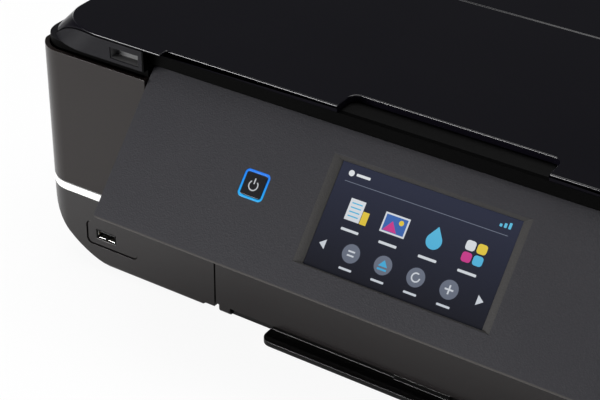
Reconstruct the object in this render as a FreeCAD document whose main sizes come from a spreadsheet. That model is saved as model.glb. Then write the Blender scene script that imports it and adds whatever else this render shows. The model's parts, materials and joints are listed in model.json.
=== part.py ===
import FreeCAD, Part
import math
import os
import re

# Flatbed inkjet printer: a hollow housing with a print engine, a paper drawer, an output tray, a tilting
# control panel, and a hinged scanner unit with its own lid. Millimetres, +Z up, origin on the table under
# the middle of the printer's outline with the control panel raised. -Y is the front, where the panel is.

DIMENSIONS = {
    # Housing
    "body_width": 479.0,
    "body_depth": 356.0,
    "front_y": -154.84,
    "ground_gap": 5.0,
    "wall": 2.5,
    "corner_radius": 17.0,
    "side_radius": 55.0,
    "edge_radius": 3.0,
    "case_top": 130.2,
    "crown_radius": 2.0,
    "band_bottom": 46.3,
    "band_height": 4.5,
    "groove_height": 0.8,
    "groove_depth": 1.0,
    "rear_dip": 3.0,
    "fit_gap": 0.3,
    "shaft_gap": 0.05,
    # Base pan and feet
    "pan_half": 181.0,
    "pan_inset": 9.0,
    "pan_thickness": 2.5,
    "pan_corner": 10.0,
    "runner_inset": 18.0,
    "runner_width": 2.5,
    "runner_height": 9.0,
    "foot_radius": 9.0,
    "foot_x": 165.0,
    "foot_inset": 42.0,
    "screw_radius": 3.0,
    "screw_height": 1.2,
    "screw_x": 165.0,
    "screw_inset": 90.0,
    # Paper drawer
    "drawer_half": 124.2,
    "drawer_gap": 0.8,
    "mouth_depth": 18.0,
    "drawer_bottom": 10.0,
    "drawer_top": 38.0,
    "tab_inner": 115.2,
    "tab_outer": 122.2,
    "tray_half": 121.4,
    "tray_length": 288.0,
    "tray_top": 30.0,
    "tray_rear_top": 18.0,
    "tray_wall": 2.0,
    "lip_half": 91.0,
    "lip_reach": 8.0,
    "lip_root": 8.0,
    "lip_top": 5.8,
    "lip_thickness": 3.0,
    "lip_corner": 6.0,
    "grip_half": 16.0,
    "grip_reach": 1.2,
    "grip_height": 3.0,
    "guide_x": 106.0,
    "guide_thickness": 2.5,
    "guide_foot": 12.0,
    "guide_length": 70.0,
    "guide_setback": 70.0,
    "guide_top": 27.0,
    # Output tray
    "out_half": 122.2,
    "out_bottom": 39.0,
    "out_thickness": 7.0,
    "out_length": 150.0,
    "out_skin": 1.8,
    "out_setback": 0.6,
    "ext_half": 111.2,
    "ext_length": 138.0,
    # Side frames and main frame
    "frame_x": 131.0,
    "frame_thickness": 2.0,
    "frame_setback": 16.0,
    "frame_top": 50.0,
    "frame_rear": 100.0,
    "ear_top": 78.0,
    "ear_half": 12.0,
    "exit_ear_half": 7.0,
    "rail_flange": 11.3,
    "rail_skin": 2.2,
    "sheet": 1.5,
    "main_half": 216.0,
    "main_bottom": 52.0,
    "main_top": 111.0,
    "flange_front": 66.0,
    "flange_bottom": 74.0,
    # Paper feed
    "feed_y": 62.0,
    "feed_z": 58.0,
    "feed_radius": 6.0,
    "feed_half": 112.0,
    "feed_journal": 4.0,
    "exit_radius": 3.2,
    "exit_half": 110.0,
    "exit_journal": 2.5,
    "pinch_radius": 4.0,
    "pinch_half": 94.0,
    "pinch_journal": 2.0,
    "holder_half": 100.0,
    "holder_bottom": 76.0,
    "holder_thickness": 3.0,
    "gear_module": 0.8,
    "feed_teeth": 40,
    "idler_teeth": 50,
    "exit_teeth": 20,
    "pinion_teeth": 12,
    "gear_width": 6.0,
    "gear_offset": 1.0,
    "idler_drop": 18.0,
    "exit_drop": 4.0,
    "stud_radius": 3.0,
    "motor_shaft": 1.5,
    "feed_motor_radius": 14.0,
    "feed_motor_length": 25.0,
    "pinion_hole": 6.5,
    "platen_front": 13.0,
    "platen_rear": 54.0,
    "platen_top": 61.5,
    "platen_base": 55.0,
    "platen_skin": 3.0,
    "rib_width": 2.0,
    "rib_pitch": 28.0,
    "rib_pairs": 4,
    "pickup_y": 96.0,
    "pickup_z": 27.5,
    "pickup_radius": 8.0,
    "pickup_half": 20.0,
    "pickup_journal": 2.5,
    "pickup_ear": 3.0,
    "arm_bottom": 42.0,
    "arm_top": 58.0,
    # Print carriage
    "rod_y": 80.0,
    "rod_z": 88.0,
    "rod_radius": 4.0,
    "carriage_park": 160.0,
    "carriage_half": 50.0,
    "carriage_front": -18.0,
    "carriage_rear": 44.0,
    "carriage_bottom": 66.0,
    "carriage_top": 108.0,
    "carriage_wall": 3.0,
    "carriage_floor": 5.0,
    "arm_half": 45.0,
    "bush_wall": 4.0,
    "head_half": 30.0,
    "head_inset": 8.0,
    "head_height": 2.5,
    "cartridge_count": 6,
    "cartridge_rise": 2.0,
    "belt_y": 92.0,
    "belt_z": 101.0,
    "belt_width": 5.0,
    "belt_thickness": 0.9,
    "pulley_radius": 4.5,
    "pulley_x": 195.0,
    "pulley_flange": 0.8,
    "pulley_rim": 1.4,
    "clamp_half": 8.0,
    "clamp_wall": 1.2,
    "carriage_motor_radius": 12.0,
    "carriage_motor_length": 26.0,
    "strip_y": 70.0,
    "strip_z": 96.0,
    "strip_height": 9.0,
    "strip_thickness": 0.5,
    # Other inner units
    "station_inner": 136.0,
    "station_outer": 184.0,
    "station_front": -20.0,
    "station_rear": 46.0,
    "station_top": 60.0,
    "station_cap": 2.0,
    "station_rim": 5.0,
    "pad_inner": 138.0,
    "pad_outer": 184.0,
    "pad_front": 60.0,
    "pad_rear": 180.0,
    "pad_top": 34.0,
    "supply_inner": 140.0,
    "supply_outer": 200.0,
    "supply_front": 106.0,
    "supply_bottom": 10.0,
    "supply_top": 48.0,
    "board_gap": 9.5,
    "board_thickness": 1.6,
    "board_front": -100.0,
    "board_rear": 150.0,
    "board_bottom": 55.0,
    "board_top": 112.0,
    "boss_radius": 3.0,
    "boss_inset": 10.0,
    # Front memory socket
    "plate_left": 210.0,
    "plate_right": 176.0,
    "plate_bottom": 17.5,
    "plate_top": 31.5,
    "plate_sink": 0.7,
    "plate_thickness": 1.8,
    "plate_corner": 3.0,
    "port_x": 197.4,
    "port_z": 24.5,
    "port_width": 13.2,
    "port_height": 5.8,
    "port_depth": 16.0,
    "port_skin": 0.5,
    "tongue_height": 1.8,
    # Rear sockets and rear cover
    "cover_half": 168.0,
    "cover_bottom": 22.0,
    "cover_top": 112.0,
    "cover_gap": 0.5,
    "cover_grip_half": 30.0,
    "cover_grip_height": 9.0,
    "turn_radius": 24.0,
    "turn_skin": 2.0,
    "turn_half": 112.0,
    "turn_z": 42.0,
    "inlet_x": 193.0,
    "inlet_z": 24.0,
    "inlet_width": 20.0,
    "inlet_height": 13.0,
    "inlet_depth": 18.0,
    "inlet_skin": 2.0,
    "inlet_pin": 1.2,
    "inlet_pin_gap": 4.3,
    "lan_x": 214.0,
    "lan_z": 68.0,
    "lan_width": 16.0,
    "lan_height": 13.0,
    "lan_depth": 20.0,
    "lan_skin": 2.0,
    "link_x": 192.0,
    "link_width": 12.0,
    "link_height": 11.0,
    "link_depth": 16.0,
    "link_skin": 1.0,
    "link_tongue": 3.2,
    # Scanner unit
    "rim_bottom": 134.9,
    "rim_top": 143.6,
    "rim_half": 236.0,
    "top_half": 223.0,
    "top_corner": 22.0,
    "strip_top": 146.1,
    "strip_flat": 200.0,
    "strip_round": 46.0,
    "tub_bottom": 116.0,
    "tub_inset": 12.5,
    "tub_front": 16.0,
    "flange_inset": 2.5,
    "flange_front": 3.5,
    "flange_rear": 8.0,
    "flange_gap": 0.6,
    "swing_gap": 1.2,
    "tub_rear": 6.0,
    "tub_floor": 2.0,
    "cavity_half": 219.0,
    "cavity_front": 20.0,
    "cavity_rear": 12.0,
    "seat_half": 213.0,
    "seat_front": 9.0,
    "seat_rear": 9.5,
    "seat_depth": 3.0,
    "seat_ledge": 4.0,
    "seat_skin": 1.5,
    "ledge_setback": 6.3,
    "swing_setback": 14.5,
    "swing_top": 137.0,
    "rear_top": 141.0,
    "rear_side": 200.0,
    "rear_side_top": 137.5,
    "pocket_inner": 169.0,
    "pocket_outer": 187.0,
    "pocket_bottom": 136.7,
    "pocket_top": 143.0,
    "pocket_depth": 6.0,
    "glass_half": 155.0,
    "glass_front": 35.0,
    "glass_length": 226.0,
    "glass_thickness": 2.0,
    "glass_ledge": 3.0,
    "scan_rod_y": -10.0,
    "scan_rod_z": 125.0,
    "scan_rod_radius": 3.0,
    "scan_park": 172.0,
    "scan_half": 10.0,
    "scan_top": 139.5,
    "scan_bottom": 120.5,
    "hinge_x": 185.0,
    "hinge_back": 4.5,
    "hinge_z": 134.5,
    "hinge_knuckle": 3.8,
    "hinge_pin": 2.0,
    "hinge_lug": 4.5,
    "hinge_ear": 4.0,
    "hinge_slack": 0.5,
    "hinge_root": 100.0,
    # Lid
    "lid_top": 148.0,
    "lid_gap": 0.4,
    "lid_well": 5.0,
    "skirt_bottom": 135.9,
    "lid_step_x": 155.0,
    "lid_step": 5.3,
    "lid_notch_x": 55.0,
    "lid_notch": 20.0,
    "lid_notch_corner": 5.0,
    "lid_rear": 1.0,
    "lid_groove_y": 138.0,
    "lid_groove": 0.7,
    "mat_half": 165.0,
    "mat_front": 28.0,
    "mat_length": 240.0,
    "mat_thickness": 1.8,
    "mat_drop": 0.2,
    "lid_hinge_x": 150.0,
    "lid_hinge_half": 14.0,
    "lid_hinge_back": 4.2,
    "lid_hinge_z": 146.0,
    "lid_hinge_reach": 2.8,
    "lid_hinge_top": 1.3,
    "lid_pin": 1.2,
    "lid_pin_length": 8.0,
    "lid_slack": 1.2,
    # Control panel, measured from its tilt axis before it is tilted
    "panel_half": 165.0,
    "panel_length": 82.0,
    "panel_tilt": 41.52,
    "panel_gap": 0.6,
    "pivot_depth": 10.0,
    "pivot_drop": 8.3,
    "pivot_z": 122.9,
    "pivot_radius": 3.0,
    "face_thickness": 3.0,
    "face_corner": 2.0,
    "back_inset": 4.0,
    "back_top": 3.0,
    "back_bottom": 4.0,
    "back_depth": 2.0,
    "back_wall": 1.8,
    "screen_half": 47.5,
    "screen_start": 14.7,
    "screen_end": 67.0,
    "screen_sink": 2.2,
    "screen_thickness": 2.0,
    "screen_gap": 0.1,
    "bevel_half": 52.5,
    "bevel_start": 12.8,
    "bevel_end": 67.8,
    "button_x": -86.3,
    "button_fall": 40.2,
    "button_size": 11.7,
    "button_corner": 1.1,
    "button_proud": 0.3,
    "button_depth": 4.6,
    "ring_width": 1.0,
    "ring_gap": 0.25,
    "ring_depth": 4.0,
    "return_wall": 2.4,
    "return_depth": 20.0,
    "inner_front": 17.5,
    "inner_front_bottom": 64.0,
    "inner_front_top": 113.0,
}

doc = FreeCAD.newDocument("printer")
sheet = doc.addObject("Spreadsheet::Sheet", "Dimensions")
for row, (alias, value) in enumerate(DIMENSIONS.items(), start=1):
    sheet.set(f"A{row}", alias)
    sheet.set(f"B{row}", str(value))
    sheet.setAlias(f"B{row}", alias)
doc.recompute()

pieces = []
UNIT = {
    "x": FreeCAD.Vector(1, 0, 0),
    "y": FreeCAD.Vector(0, 1, 0),
    "z": FreeCAD.Vector(0, 0, 1),
}


def expand(text):
    """Writes each dimension's name in a formula as a reference to its cell."""

    def cell(match):
        word = match.group()
        return f"Dimensions.{word}" if word in DIMENSIONS else word

    return re.sub(r"[a-z][a-z_0-9]*", cell, str(text))


def bind(obj, sizes):
    for name, formula in sizes.items():
        obj.setExpression(name, expand(formula))


def size(alias):
    return float(sheet.get(alias))


def span(low, high):
    return f"({high}) - ({low})"


def mirrored(side, low, high):
    """The range low to high on the right side, or its mirror image on the left."""
    if side > 0:
        return (low, high)
    return (f"-({high})", f"-({low})")


def block(name, x, y, z):
    box = doc.addObject("Part::Box", name)
    bind(box, {
        "Length": span(*x),
        "Width": span(*y),
        "Height": span(*z),
        "Placement.Base.x": x[0],
        "Placement.Base.y": y[0],
        "Placement.Base.z": z[0],
    })
    return box


def rod(name, axis, centre, radius, ends):
    """A round bar along one axis; centre gives the other two coordinates in X, Y, Z order."""
    bar = doc.addObject("Part::Cylinder", name)
    bar.Placement = FreeCAD.Placement(FreeCAD.Vector(), FreeCAD.Rotation(UNIT["z"], UNIT[axis]))
    bases = list(centre)
    bases.insert("xyz".index(axis), ends[0])
    bind(bar, {
        "Radius": radius,
        "Height": span(*ends),
        "Placement.Base.x": bases[0],
        "Placement.Base.y": bases[1],
        "Placement.Base.z": bases[2],
    })
    return bar


def round_edges(body, base, radius, axis, keep=None):
    """Rounds the edges of a body's first feature that run mostly along one axis and that keep accepts."""
    doc.recompute()
    edges = []
    for number, edge in enumerate(base.Shape.Edges, start=1):
        along = edge.tangentAt(edge.FirstParameter).dot(UNIT[axis])
        if abs(along) > 0.7 and (keep is None or keep(edge.CenterOfMass)):
            edges.append(f"Edge{number}")
    fillet = body.newObject("PartDesign::Fillet", f"{base.Name}_round")
    fillet.Base = (base, edges)
    bind(fillet, {"Radius": radius})
    return body


def rounded_block(name, x, y, z, radius, axis="z", keep=None):
    """A block whose edges along one axis are rounded, all of them or those that keep picks by their middle."""
    body = doc.addObject("PartDesign::Body", name)
    box = body.newObject("PartDesign::AdditiveBox", f"{name}_block")
    bind(box, {
        "Length": span(*x),
        "Width": span(*y),
        "Height": span(*z),
        "Placement.Base.x": x[0],
        "Placement.Base.y": y[0],
        "Placement.Base.z": z[0],
    })
    return round_edges(body, box, radius, axis, keep)


def fuse(name, *shapes):
    joined = doc.addObject("Part::MultiFuse", name)
    joined.Shapes = list(shapes)
    joined.Refine = True
    return joined


def common(name, *shapes):
    shared = doc.addObject("Part::MultiCommon", name)
    shared.Shapes = list(shapes)
    return shared


def cut(name, base, *tools):
    tool = tools[0] if len(tools) == 1 else fuse(f"{name}_tools", *tools)
    result = doc.addObject("Part::Cut", name)
    result.Base = base
    result.Tool = tool
    result.Refine = True
    return result


def group(name, *shapes):
    several = doc.addObject("Part::Compound", name)
    several.Links = list(shapes)
    return several


def piece(obj):
    pieces.append(obj)
    return obj


def wedge(name, y, near, far):
    """A tapered block along Y; near and far are its X and Z ranges at the two ends of y."""
    taper = doc.addObject("Part::Wedge", name)
    bind(taper, {
        "Ymin": y[0],
        "Ymax": y[1],
        "Xmin": near[0][0],
        "Xmax": near[0][1],
        "Zmin": near[1][0],
        "Zmax": near[1][1],
        "X2min": far[0][0],
        "X2max": far[0][1],
        "Z2min": far[1][0],
        "Z2max": far[1][1],
    })
    return taper


# Shared places
HALF = "body_width/2"
REAR = "(front_y + body_depth)"
BOARD_X = f"({HALF} - board_gap)"
BAND_TOP = "(band_bottom + band_height)"
UPPER_BOTTOM = "(band_bottom + band_height + groove_height)"
FLOOR_TOP = "(ground_gap + wall)"
FAR = "body_width"
SIDES = (("left", -1), ("right", 1))


def across(half):
    return (f"-({half})", half)


# Housing shell: plan corners, rounded lower sides and rounded lower front and rear edges meet in one outline.
# The upper case's outline takes a smaller round that ends at the band, so that its own sides are straight.
UPPER_ROUND = f"({BAND_TOP} - ground_gap)"


def outline(name, inset, bottom, side_round="side_radius"):
    x = across(f"{HALF} - {inset}")
    y = (f"front_y + {inset}", f"{REAR} - {inset}")
    top = "case_top + 3*side_radius"
    plan = rounded_block(f"{name}_plan", x, y, (bottom, top), f"corner_radius - {inset}")
    front = rounded_block(f"{name}_front", x, y, (bottom, top), f"{side_round} - {inset}", "y")
    side = rounded_block(f"{name}_side", x, y, (bottom, top), f"edge_radius - {inset}", "x")
    return common(name, plan, front, side)


crown = rounded_block(
    "crown_form", across(HALF), ("front_y", REAR), ("ground_gap", "case_top"), "crown_radius", "y"
)
shell = cut("shell", outline("outer_form", "0", "ground_gap"), outline("inner_form", "wall", FLOOR_TOP))
upper_outer = common("upper_outer", outline("upper_form", "0", "ground_gap", UPPER_ROUND), crown)
upper_liner = outline("upper_liner", "groove_depth", "ground_gap + groove_depth", UPPER_ROUND)
upper_inner = outline("upper_inner", "wall", FLOOR_TOP, UPPER_ROUND)


def layer(name, source, z):
    return common(name, source, block(f"{name}_slice", across(FAR), ("-body_depth", "body_depth"), z))


PANEL_SIDE = "(panel_half + panel_gap)"
DRAWER_SIDE = "(drawer_half + drawer_gap)"
FRAME_SIDE = "(frame_x + frame_thickness + fit_gap)"

# Lower case: open in front for the drawer and the output tray, and below where the base pan closes it
drawer_mouth = block(
    "drawer_mouth",
    across(DRAWER_SIDE),
    ("front_y - wall", "front_y + mouth_depth"),
    ("0", "band_bottom + wall"),
)
pan_window = block(
    "pan_window",
    across(FRAME_SIDE),
    ("front_y - wall", f"{REAR} - foot_inset"),
    ("0", f"{FLOOR_TOP} + fit_gap"),
)
plate_seat = rounded_block(
    "plate_seat",
    ("-plate_left - fit_gap", "-plate_right + fit_gap"),
    ("front_y - wall", "front_y + 2*wall"),
    ("plate_bottom - fit_gap", "plate_top + fit_gap"),
    "plate_corner + fit_gap",
    "y",
)
cover_window = block(
    "cover_window",
    across("cover_half + cover_gap"),
    (f"{REAR} - 2*wall", f"{REAR} + wall"),
    ("cover_bottom - cover_gap", "cover_top + cover_gap"),
)


def socket_window(name, x, z, width, height):
    return block(
        f"{name}_window",
        (f"-{x} - {width}/2 - fit_gap", f"-{x} + {width}/2 + fit_gap"),
        (f"{REAR} - 2*wall", f"{REAR} + wall"),
        (f"{z} - {height}/2 - fit_gap", f"{z} + {height}/2 + fit_gap"),
    )


ledges = []
for side_name, side in SIDES:
    ledge_z = ("band_bottom - wall", "band_bottom")
    ledges.append(block(
        f"ledge_{side_name}",
        mirrored(side, FRAME_SIDE, PANEL_SIDE),
        ("front_y + groove_depth", "front_y + return_depth"),
        ledge_z,
    ))
    ledges.append(block(
        f"ledge_end_{side_name}",
        mirrored(side, DRAWER_SIDE, f"{FRAME_SIDE} + wall"),
        ("front_y + groove_depth", "front_y + frame_setback - fit_gap"),
        ledge_z,
    ))
piece(cut(
    "lower_case",
    fuse("lower_walls", layer("lower_layer", shell, ("0", "band_bottom")), *ledges),
    drawer_mouth,
    pan_window,
    plate_seat,
    cover_window,
    socket_window("inlet", "inlet_x", "inlet_z", "inlet_width", "inlet_height"),
))

# White trim band round each side, from the control panel to the rear cover
band = cut(
    "band_ring",
    layer("band_layer", shell, ("band_bottom", BAND_TOP)),
    block("band_front", across(PANEL_SIDE), ("front_y - wall", "front_y + 2*wall"), ("0", "case_top")),
    block(
        "band_rear",
        across("cover_half + cover_gap"),
        (f"{REAR} - 2*wall", f"{REAR} + wall"),
        ("0", "case_top"),
    ),
)
for side_name, side in SIDES:
    half_space = block(
        f"band_{side_name}_side", mirrored(side, "0", FAR), ("-body_depth", "body_depth"), ("0", "case_top")
    )
    piece(common(f"trim_band_{side_name}", band, half_space))

# Upper case: outer skin, a tongue behind the groove over the band, and the walls of the panel's recess
upper_skin = layer("upper_skin", cut("upper_ring", upper_outer, upper_inner), (UPPER_BOTTOM, "case_top"))
tongue_ring = cut("tongue_ring", upper_liner, upper_inner)
upper_tongue = layer("upper_tongue", tongue_ring, (BAND_TOP, f"{UPPER_BOTTOM} + wall"))
panel_recess = block(
    "panel_recess", across(PANEL_SIDE), ("front_y - wall", "front_y + return_depth"), ("0", "case_top + wall")
)
returns = []
for side_name, side in SIDES:
    return_x = mirrored(side, PANEL_SIDE, f"{PANEL_SIDE} + return_wall")
    returns.append(block(
        f"return_{side_name}", return_x, ("front_y + groove_depth", "front_y + return_depth"), (
            BAND_TOP, "inner_front_top"
        )
    ))
    returns.append(block(
        f"return_top_{side_name}", return_x, ("front_y + groove_depth", "front_y + tub_front - swing_gap"), (
            "inner_front_top - wall", "case_top"
        )
    ))
    returns.append(block(
        f"inner_side_{side_name}",
        mirrored(side, FRAME_SIDE, f"{PANEL_SIDE} + return_wall"),
        ("front_y + inner_front", "front_y + return_depth"),
        ("band_bottom", "inner_front_bottom + wall"),
    ))
inner_front = block(
    "inner_front",
    across(f"{PANEL_SIDE} + return_wall"),
    ("front_y + inner_front", "front_y + return_depth"),
    ("inner_front_bottom", "inner_front_top"),
)
BOARD_SPOTS = [
    ("boss_a", "board_front + boss_inset", "board_bottom + boss_inset"),
    ("boss_b", "board_front + boss_inset", "board_top - boss_inset"),
    ("boss_c", "board_rear - boss_inset", "board_bottom + boss_inset"),
    ("boss_d", "board_rear - boss_inset", "board_top - boss_inset"),
]
bosses = [
    rod(name, "x", (y, z), "boss_radius", (f"-{HALF} + wall/2", f"-{BOARD_X}")) for name, y, z in BOARD_SPOTS
]
opened_skin = cut("opened_skin", fuse("upper_shell", upper_skin, upper_tongue), panel_recess)
pivot_bore = rod(
    "pivot_bore",
    "x",
    ("front_y + pivot_depth", "pivot_z"),
    "pivot_radius + shaft_gap",
    across(f"{PANEL_SIDE} + 2*return_wall"),
)
piece(cut(
    "upper_case",
    fuse("upper_walls", opened_skin, inner_front, *returns, *bosses),
    pivot_bore,
    cover_window,
    block(
        "rear_dip_cut",
        across(f"{HALF} - corner_radius"),
        (f"{REAR} - 2*wall", f"{REAR} + wall"),
        ("case_top - rear_dip", "case_top + wall"),
    ),
    socket_window("lan", "lan_x", "lan_z", "lan_width", "lan_height"),
    socket_window("link", "link_x", "lan_z", "link_width", "link_height"),
))

# Base pan with the drawer's runners, and the feet and screws under it
PAN_Y = ("front_y + pan_inset", f"{REAR} - pan_inset")
pan_plate = rounded_block(
    "pan_plate", across("pan_half"), PAN_Y, ("ground_gap - pan_thickness", "ground_gap"), "pan_corner"
)
runners = [
    block(
        f"runner_{side_name}",
        mirrored(side, "tray_half + fit_gap", "tray_half + fit_gap + runner_width"),
        ("front_y + runner_inset", "front_y + wall + tray_length"),
        ("ground_gap - pan_thickness/2", "ground_gap + runner_height"),
    )
    for side_name, side in SIDES
]
piece(fuse("base_pan", pan_plate, *runners))


def under_spots(name, radius, x, inset, z):
    spots = []
    for side_name, side in SIDES:
        for end_name, y in (("front", f"front_y + {inset}"), ("rear", f"{REAR} - {inset}")):
            spots.append(rod(f"{name}_{end_name}_{side_name}", "z", (f"{side}*{x}", y), radius, z))
    return spots


FOOT_TOP = "ground_gap - pan_thickness"
piece(group("rubber_feet", *under_spots("foot", "foot_radius", "foot_x", "foot_inset", ("0", FOOT_TOP))))
piece(group(
    "base_screws",
    *under_spots("screw", "screw_radius", "screw_x", "screw_inset", (f"{FOOT_TOP} - screw_height", FOOT_TOP)),
))

# Front memory socket: a sunk plate with a metal sleeve and its tongue behind it
PLATE_Y = ("front_y + plate_sink", "front_y + plate_sink + plate_thickness")
PORT_X = ("-port_x - port_width/2", "-port_x + port_width/2")
PORT_Z = ("port_z - port_height/2", "port_z + port_height/2")
PORT_BACK = "front_y + plate_sink + port_depth"
plate = rounded_block(
    "plate_blank", ("-plate_left", "-plate_right"), PLATE_Y, ("plate_bottom", "plate_top"), "plate_corner", "y"
)
piece(cut("usb_plate", plate, block("plate_slot", PORT_X, ("front_y - wall", "front_y + 3*wall"), PORT_Z)))
sleeve = cut(
    "port_sleeve",
    block("port_blank", PORT_X, ("front_y + plate_sink", PORT_BACK), PORT_Z),
    block(
        "port_hollow",
        ("-port_x - port_width/2 + port_skin", "-port_x + port_width/2 - port_skin"),
        ("front_y - wall", f"{PORT_BACK} - port_skin"),
        ("port_z - port_height/2 + port_skin", "port_z + port_height/2 - port_skin"),
    ),
)
tongue = block(
    "port_tongue",
    ("-port_x - port_width/2 + 2*port_skin", "-port_x + port_width/2 - 2*port_skin"),
    ("front_y + plate_sink + plate_thickness", f"{PORT_BACK} - port_skin/2"),
    ("port_z + port_height/2 - port_skin - tongue_height", "port_z + port_height/2 - 2*port_skin"),
)
piece(fuse("usb_port", sleeve, tongue))


# Rear sockets: open boxes that pass through the rear wall
def socket_box(name, x, z, width, height, depth, skin):
    shell_box = block(
        f"{name}_blank",
        (f"-{x} - {width}/2", f"-{x} + {width}/2"),
        (f"{REAR} - {depth}", REAR),
        (f"{z} - {height}/2", f"{z} + {height}/2"),
    )
    hollow = block(
        f"{name}_hollow",
        (f"-{x} - {width}/2 + {skin}", f"-{x} + {width}/2 - {skin}"),
        (f"{REAR} - {depth} + {skin}", f"{REAR} + wall"),
        (f"{z} - {height}/2 + {skin}", f"{z} + {height}/2 - {skin}"),
    )
    return shell_box, hollow


inlet_box, inlet_hollow = socket_box(
    "inlet", "inlet_x", "inlet_z", "inlet_width", "inlet_height", "inlet_depth", "inlet_skin"
)
inlet_pins = [
    rod(
        f"inlet_pin_{side_name}",
        "y",
        (f"-inlet_x + {side}*inlet_pin_gap", "inlet_z"),
        "inlet_pin",
        (f"{REAR} - inlet_depth + inlet_skin/2", f"{REAR} - inlet_skin"),
    )
    for side_name, side in SIDES
]
piece(fuse("power_inlet", cut("inlet_shell", inlet_box, inlet_hollow), *inlet_pins))
lan_box, lan_hollow = socket_box("lan", "lan_x", "lan_z", "lan_width", "lan_height", "lan_depth", "lan_skin")
piece(cut("network_socket", lan_box, lan_hollow))
link_box, link_hollow = socket_box(
    "link", "link_x", "lan_z", "link_width", "link_height", "link_depth", "link_skin"
)
link_tongue = block(
    "link_tongue_bar",
    ("-link_x - link_tongue", "-link_x + link_tongue"),
    (f"{REAR} - link_depth + link_skin/2", f"{REAR} - link_skin"),
    ("lan_z - link_tongue/2", "lan_z + link_tongue/2"),
)
piece(fuse("computer_socket", cut("link_shell", link_box, link_hollow), link_tongue))

# Rear cover with the half-round guide that turns the paper
COVER_Z = ("cover_bottom", "cover_top")
cover_plate = block("cover_plate", across("cover_half"), (f"{REAR} - wall", REAR), COVER_Z)
TURN_Y = f"{REAR} - wall - turn_radius"
turn_ring = cut(
    "turn_ring",
    rod("turn_outside", "x", (TURN_Y, "turn_z"), "turn_radius + wall/2", across("turn_half")),
    rod("turn_inside", "x", (TURN_Y, "turn_z"), "turn_radius - turn_skin", across("turn_half + wall")),
    block(
        "turn_front",
        across("turn_half + wall"),
        (f"{TURN_Y} - 2*turn_radius", TURN_Y),
        ("turn_z - 2*turn_radius", "turn_z + 2*turn_radius"),
    ),
)
cover_grip = block(
    "cover_grip",
    across("cover_grip_half"),
    (f"{REAR} - wall/2", f"{REAR} + wall"),
    ("cover_top - cover_grip_height", "cover_top + wall"),
)
piece(cut("rear_cover", fuse("cover_body", cover_plate, turn_ring), cover_grip))

# Boards and boxed units
piece(block(
    "main_board",
    (f"-{BOARD_X}", f"-{BOARD_X} + board_thickness"),
    ("board_front", "board_rear"),
    ("board_bottom", "board_top"),
))
piece(block(
    "power_supply",
    ("-supply_outer", "-supply_inner"),
    ("supply_front", f"{REAR} - inlet_depth"),
    ("supply_bottom", "supply_top"),
))
piece(block("waste_ink_pad", ("pad_inner", "pad_outer"), ("pad_front", "pad_rear"), (FLOOR_TOP, "pad_top")))
station_box = block(
    "station_box",
    ("station_inner", "station_outer"),
    ("station_front", "station_rear"),
    (FLOOR_TOP, "station_top"),
)
cap_rim = cut(
    "cap_rim",
    block(
        "cap_blank",
        ("station_inner", "carriage_park + head_half"),
        ("carriage_front + head_inset", "carriage_rear - head_inset"),
        ("station_top - wall", "station_top + station_cap"),
    ),
    block(
        "cap_hollow",
        ("station_inner + station_rim", "carriage_park + head_half - station_rim"),
        ("carriage_front + head_inset + station_rim", "carriage_rear - head_inset - station_rim"),
        ("station_top", "station_top + 2*station_cap"),
    ),
)
piece(fuse("maintenance_station", station_box, cap_rim))

# Gear train places: each axis stands at the meshing distance from the one before it
FEED_IDLER = "gear_module*(feed_teeth + idler_teeth)/2"
IDLER_EXIT = "gear_module*(idler_teeth + exit_teeth)/2"
IDLER_Y = f"(feed_y - sqrt(pow({FEED_IDLER}; 2) - pow(idler_drop; 2)))"
IDLER_Z = "(feed_z - idler_drop)"
EXIT_Y = f"({IDLER_Y} - sqrt(pow({IDLER_EXIT}; 2) - pow(idler_drop - exit_drop; 2)))"
EXIT_Z = "(feed_z - exit_drop)"
PINION_Y = "(feed_y + gear_module*(feed_teeth + pinion_teeth)/2)"
PINCH_Z = "(feed_z + feed_radius + fit_gap + pinch_radius)"
GEAR_X = (
    "-frame_x - frame_thickness - gear_offset - gear_width",
    "-frame_x - frame_thickness - gear_offset",
)
GEAR_END = f"{GEAR_X[0]} - gear_offset"

# Side frames: upright plates beside the drawer that carry the rollers and the output tray's rails
for side_name, side in SIDES:
    plate_x = mirrored(side, "frame_x", "frame_x + frame_thickness")
    web = block(
        f"web_{side_name}", plate_x, ("front_y + frame_setback", "frame_rear"), ("ground_gap", "frame_top")
    )
    ear = block(
        f"feed_ear_{side_name}", plate_x, ("feed_y - ear_half", "frame_rear"), ("frame_top - wall", "ear_top")
    )
    exit_ear = block(
        f"exit_ear_{side_name}",
        plate_x,
        (f"{EXIT_Y} - exit_ear_half", f"{EXIT_Y} + exit_ear_half"),
        ("frame_top - wall", f"{EXIT_Z} + exit_ear_half"),
    )
    rail_y = ("front_y + frame_setback", "front_y + out_setback + out_length")
    rail = cut(
        f"rail_{side_name}",
        block(
            f"rail_blank_{side_name}",
            mirrored(side, "frame_x - rail_flange", "frame_x + frame_thickness/2"),
            rail_y,
            ("out_bottom - fit_gap - rail_skin", "out_bottom + out_thickness + fit_gap + rail_skin"),
        ),
        block(
            f"rail_slot_{side_name}",
            mirrored(side, "0", "out_half + fit_gap"),
            ("front_y", "frame_rear"),
            ("out_bottom - fit_gap", "out_bottom + out_thickness + fit_gap"),
        ),
    )
    bores = [
        rod(f"feed_bore_{side_name}", "x", ("feed_y", "feed_z"), "feed_journal + shaft_gap", across(FAR)),
        rod(f"exit_bore_{side_name}", "x", (EXIT_Y, EXIT_Z), "exit_journal + shaft_gap", across(FAR)),
    ]
    solids = [web, ear, exit_ear, rail]
    if side < 0:
        bores.append(rod("pinion_bore", "x", (PINION_Y, "feed_z"), "pinion_hole", across(FAR)))
        solids.append(rod("idler_stud", "x", (IDLER_Y, IDLER_Z), "stud_radius", (GEAR_END, "-frame_x")))
    piece(cut(f"side_frame_{side_name}", fuse(f"side_body_{side_name}", *solids), *bores))

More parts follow.
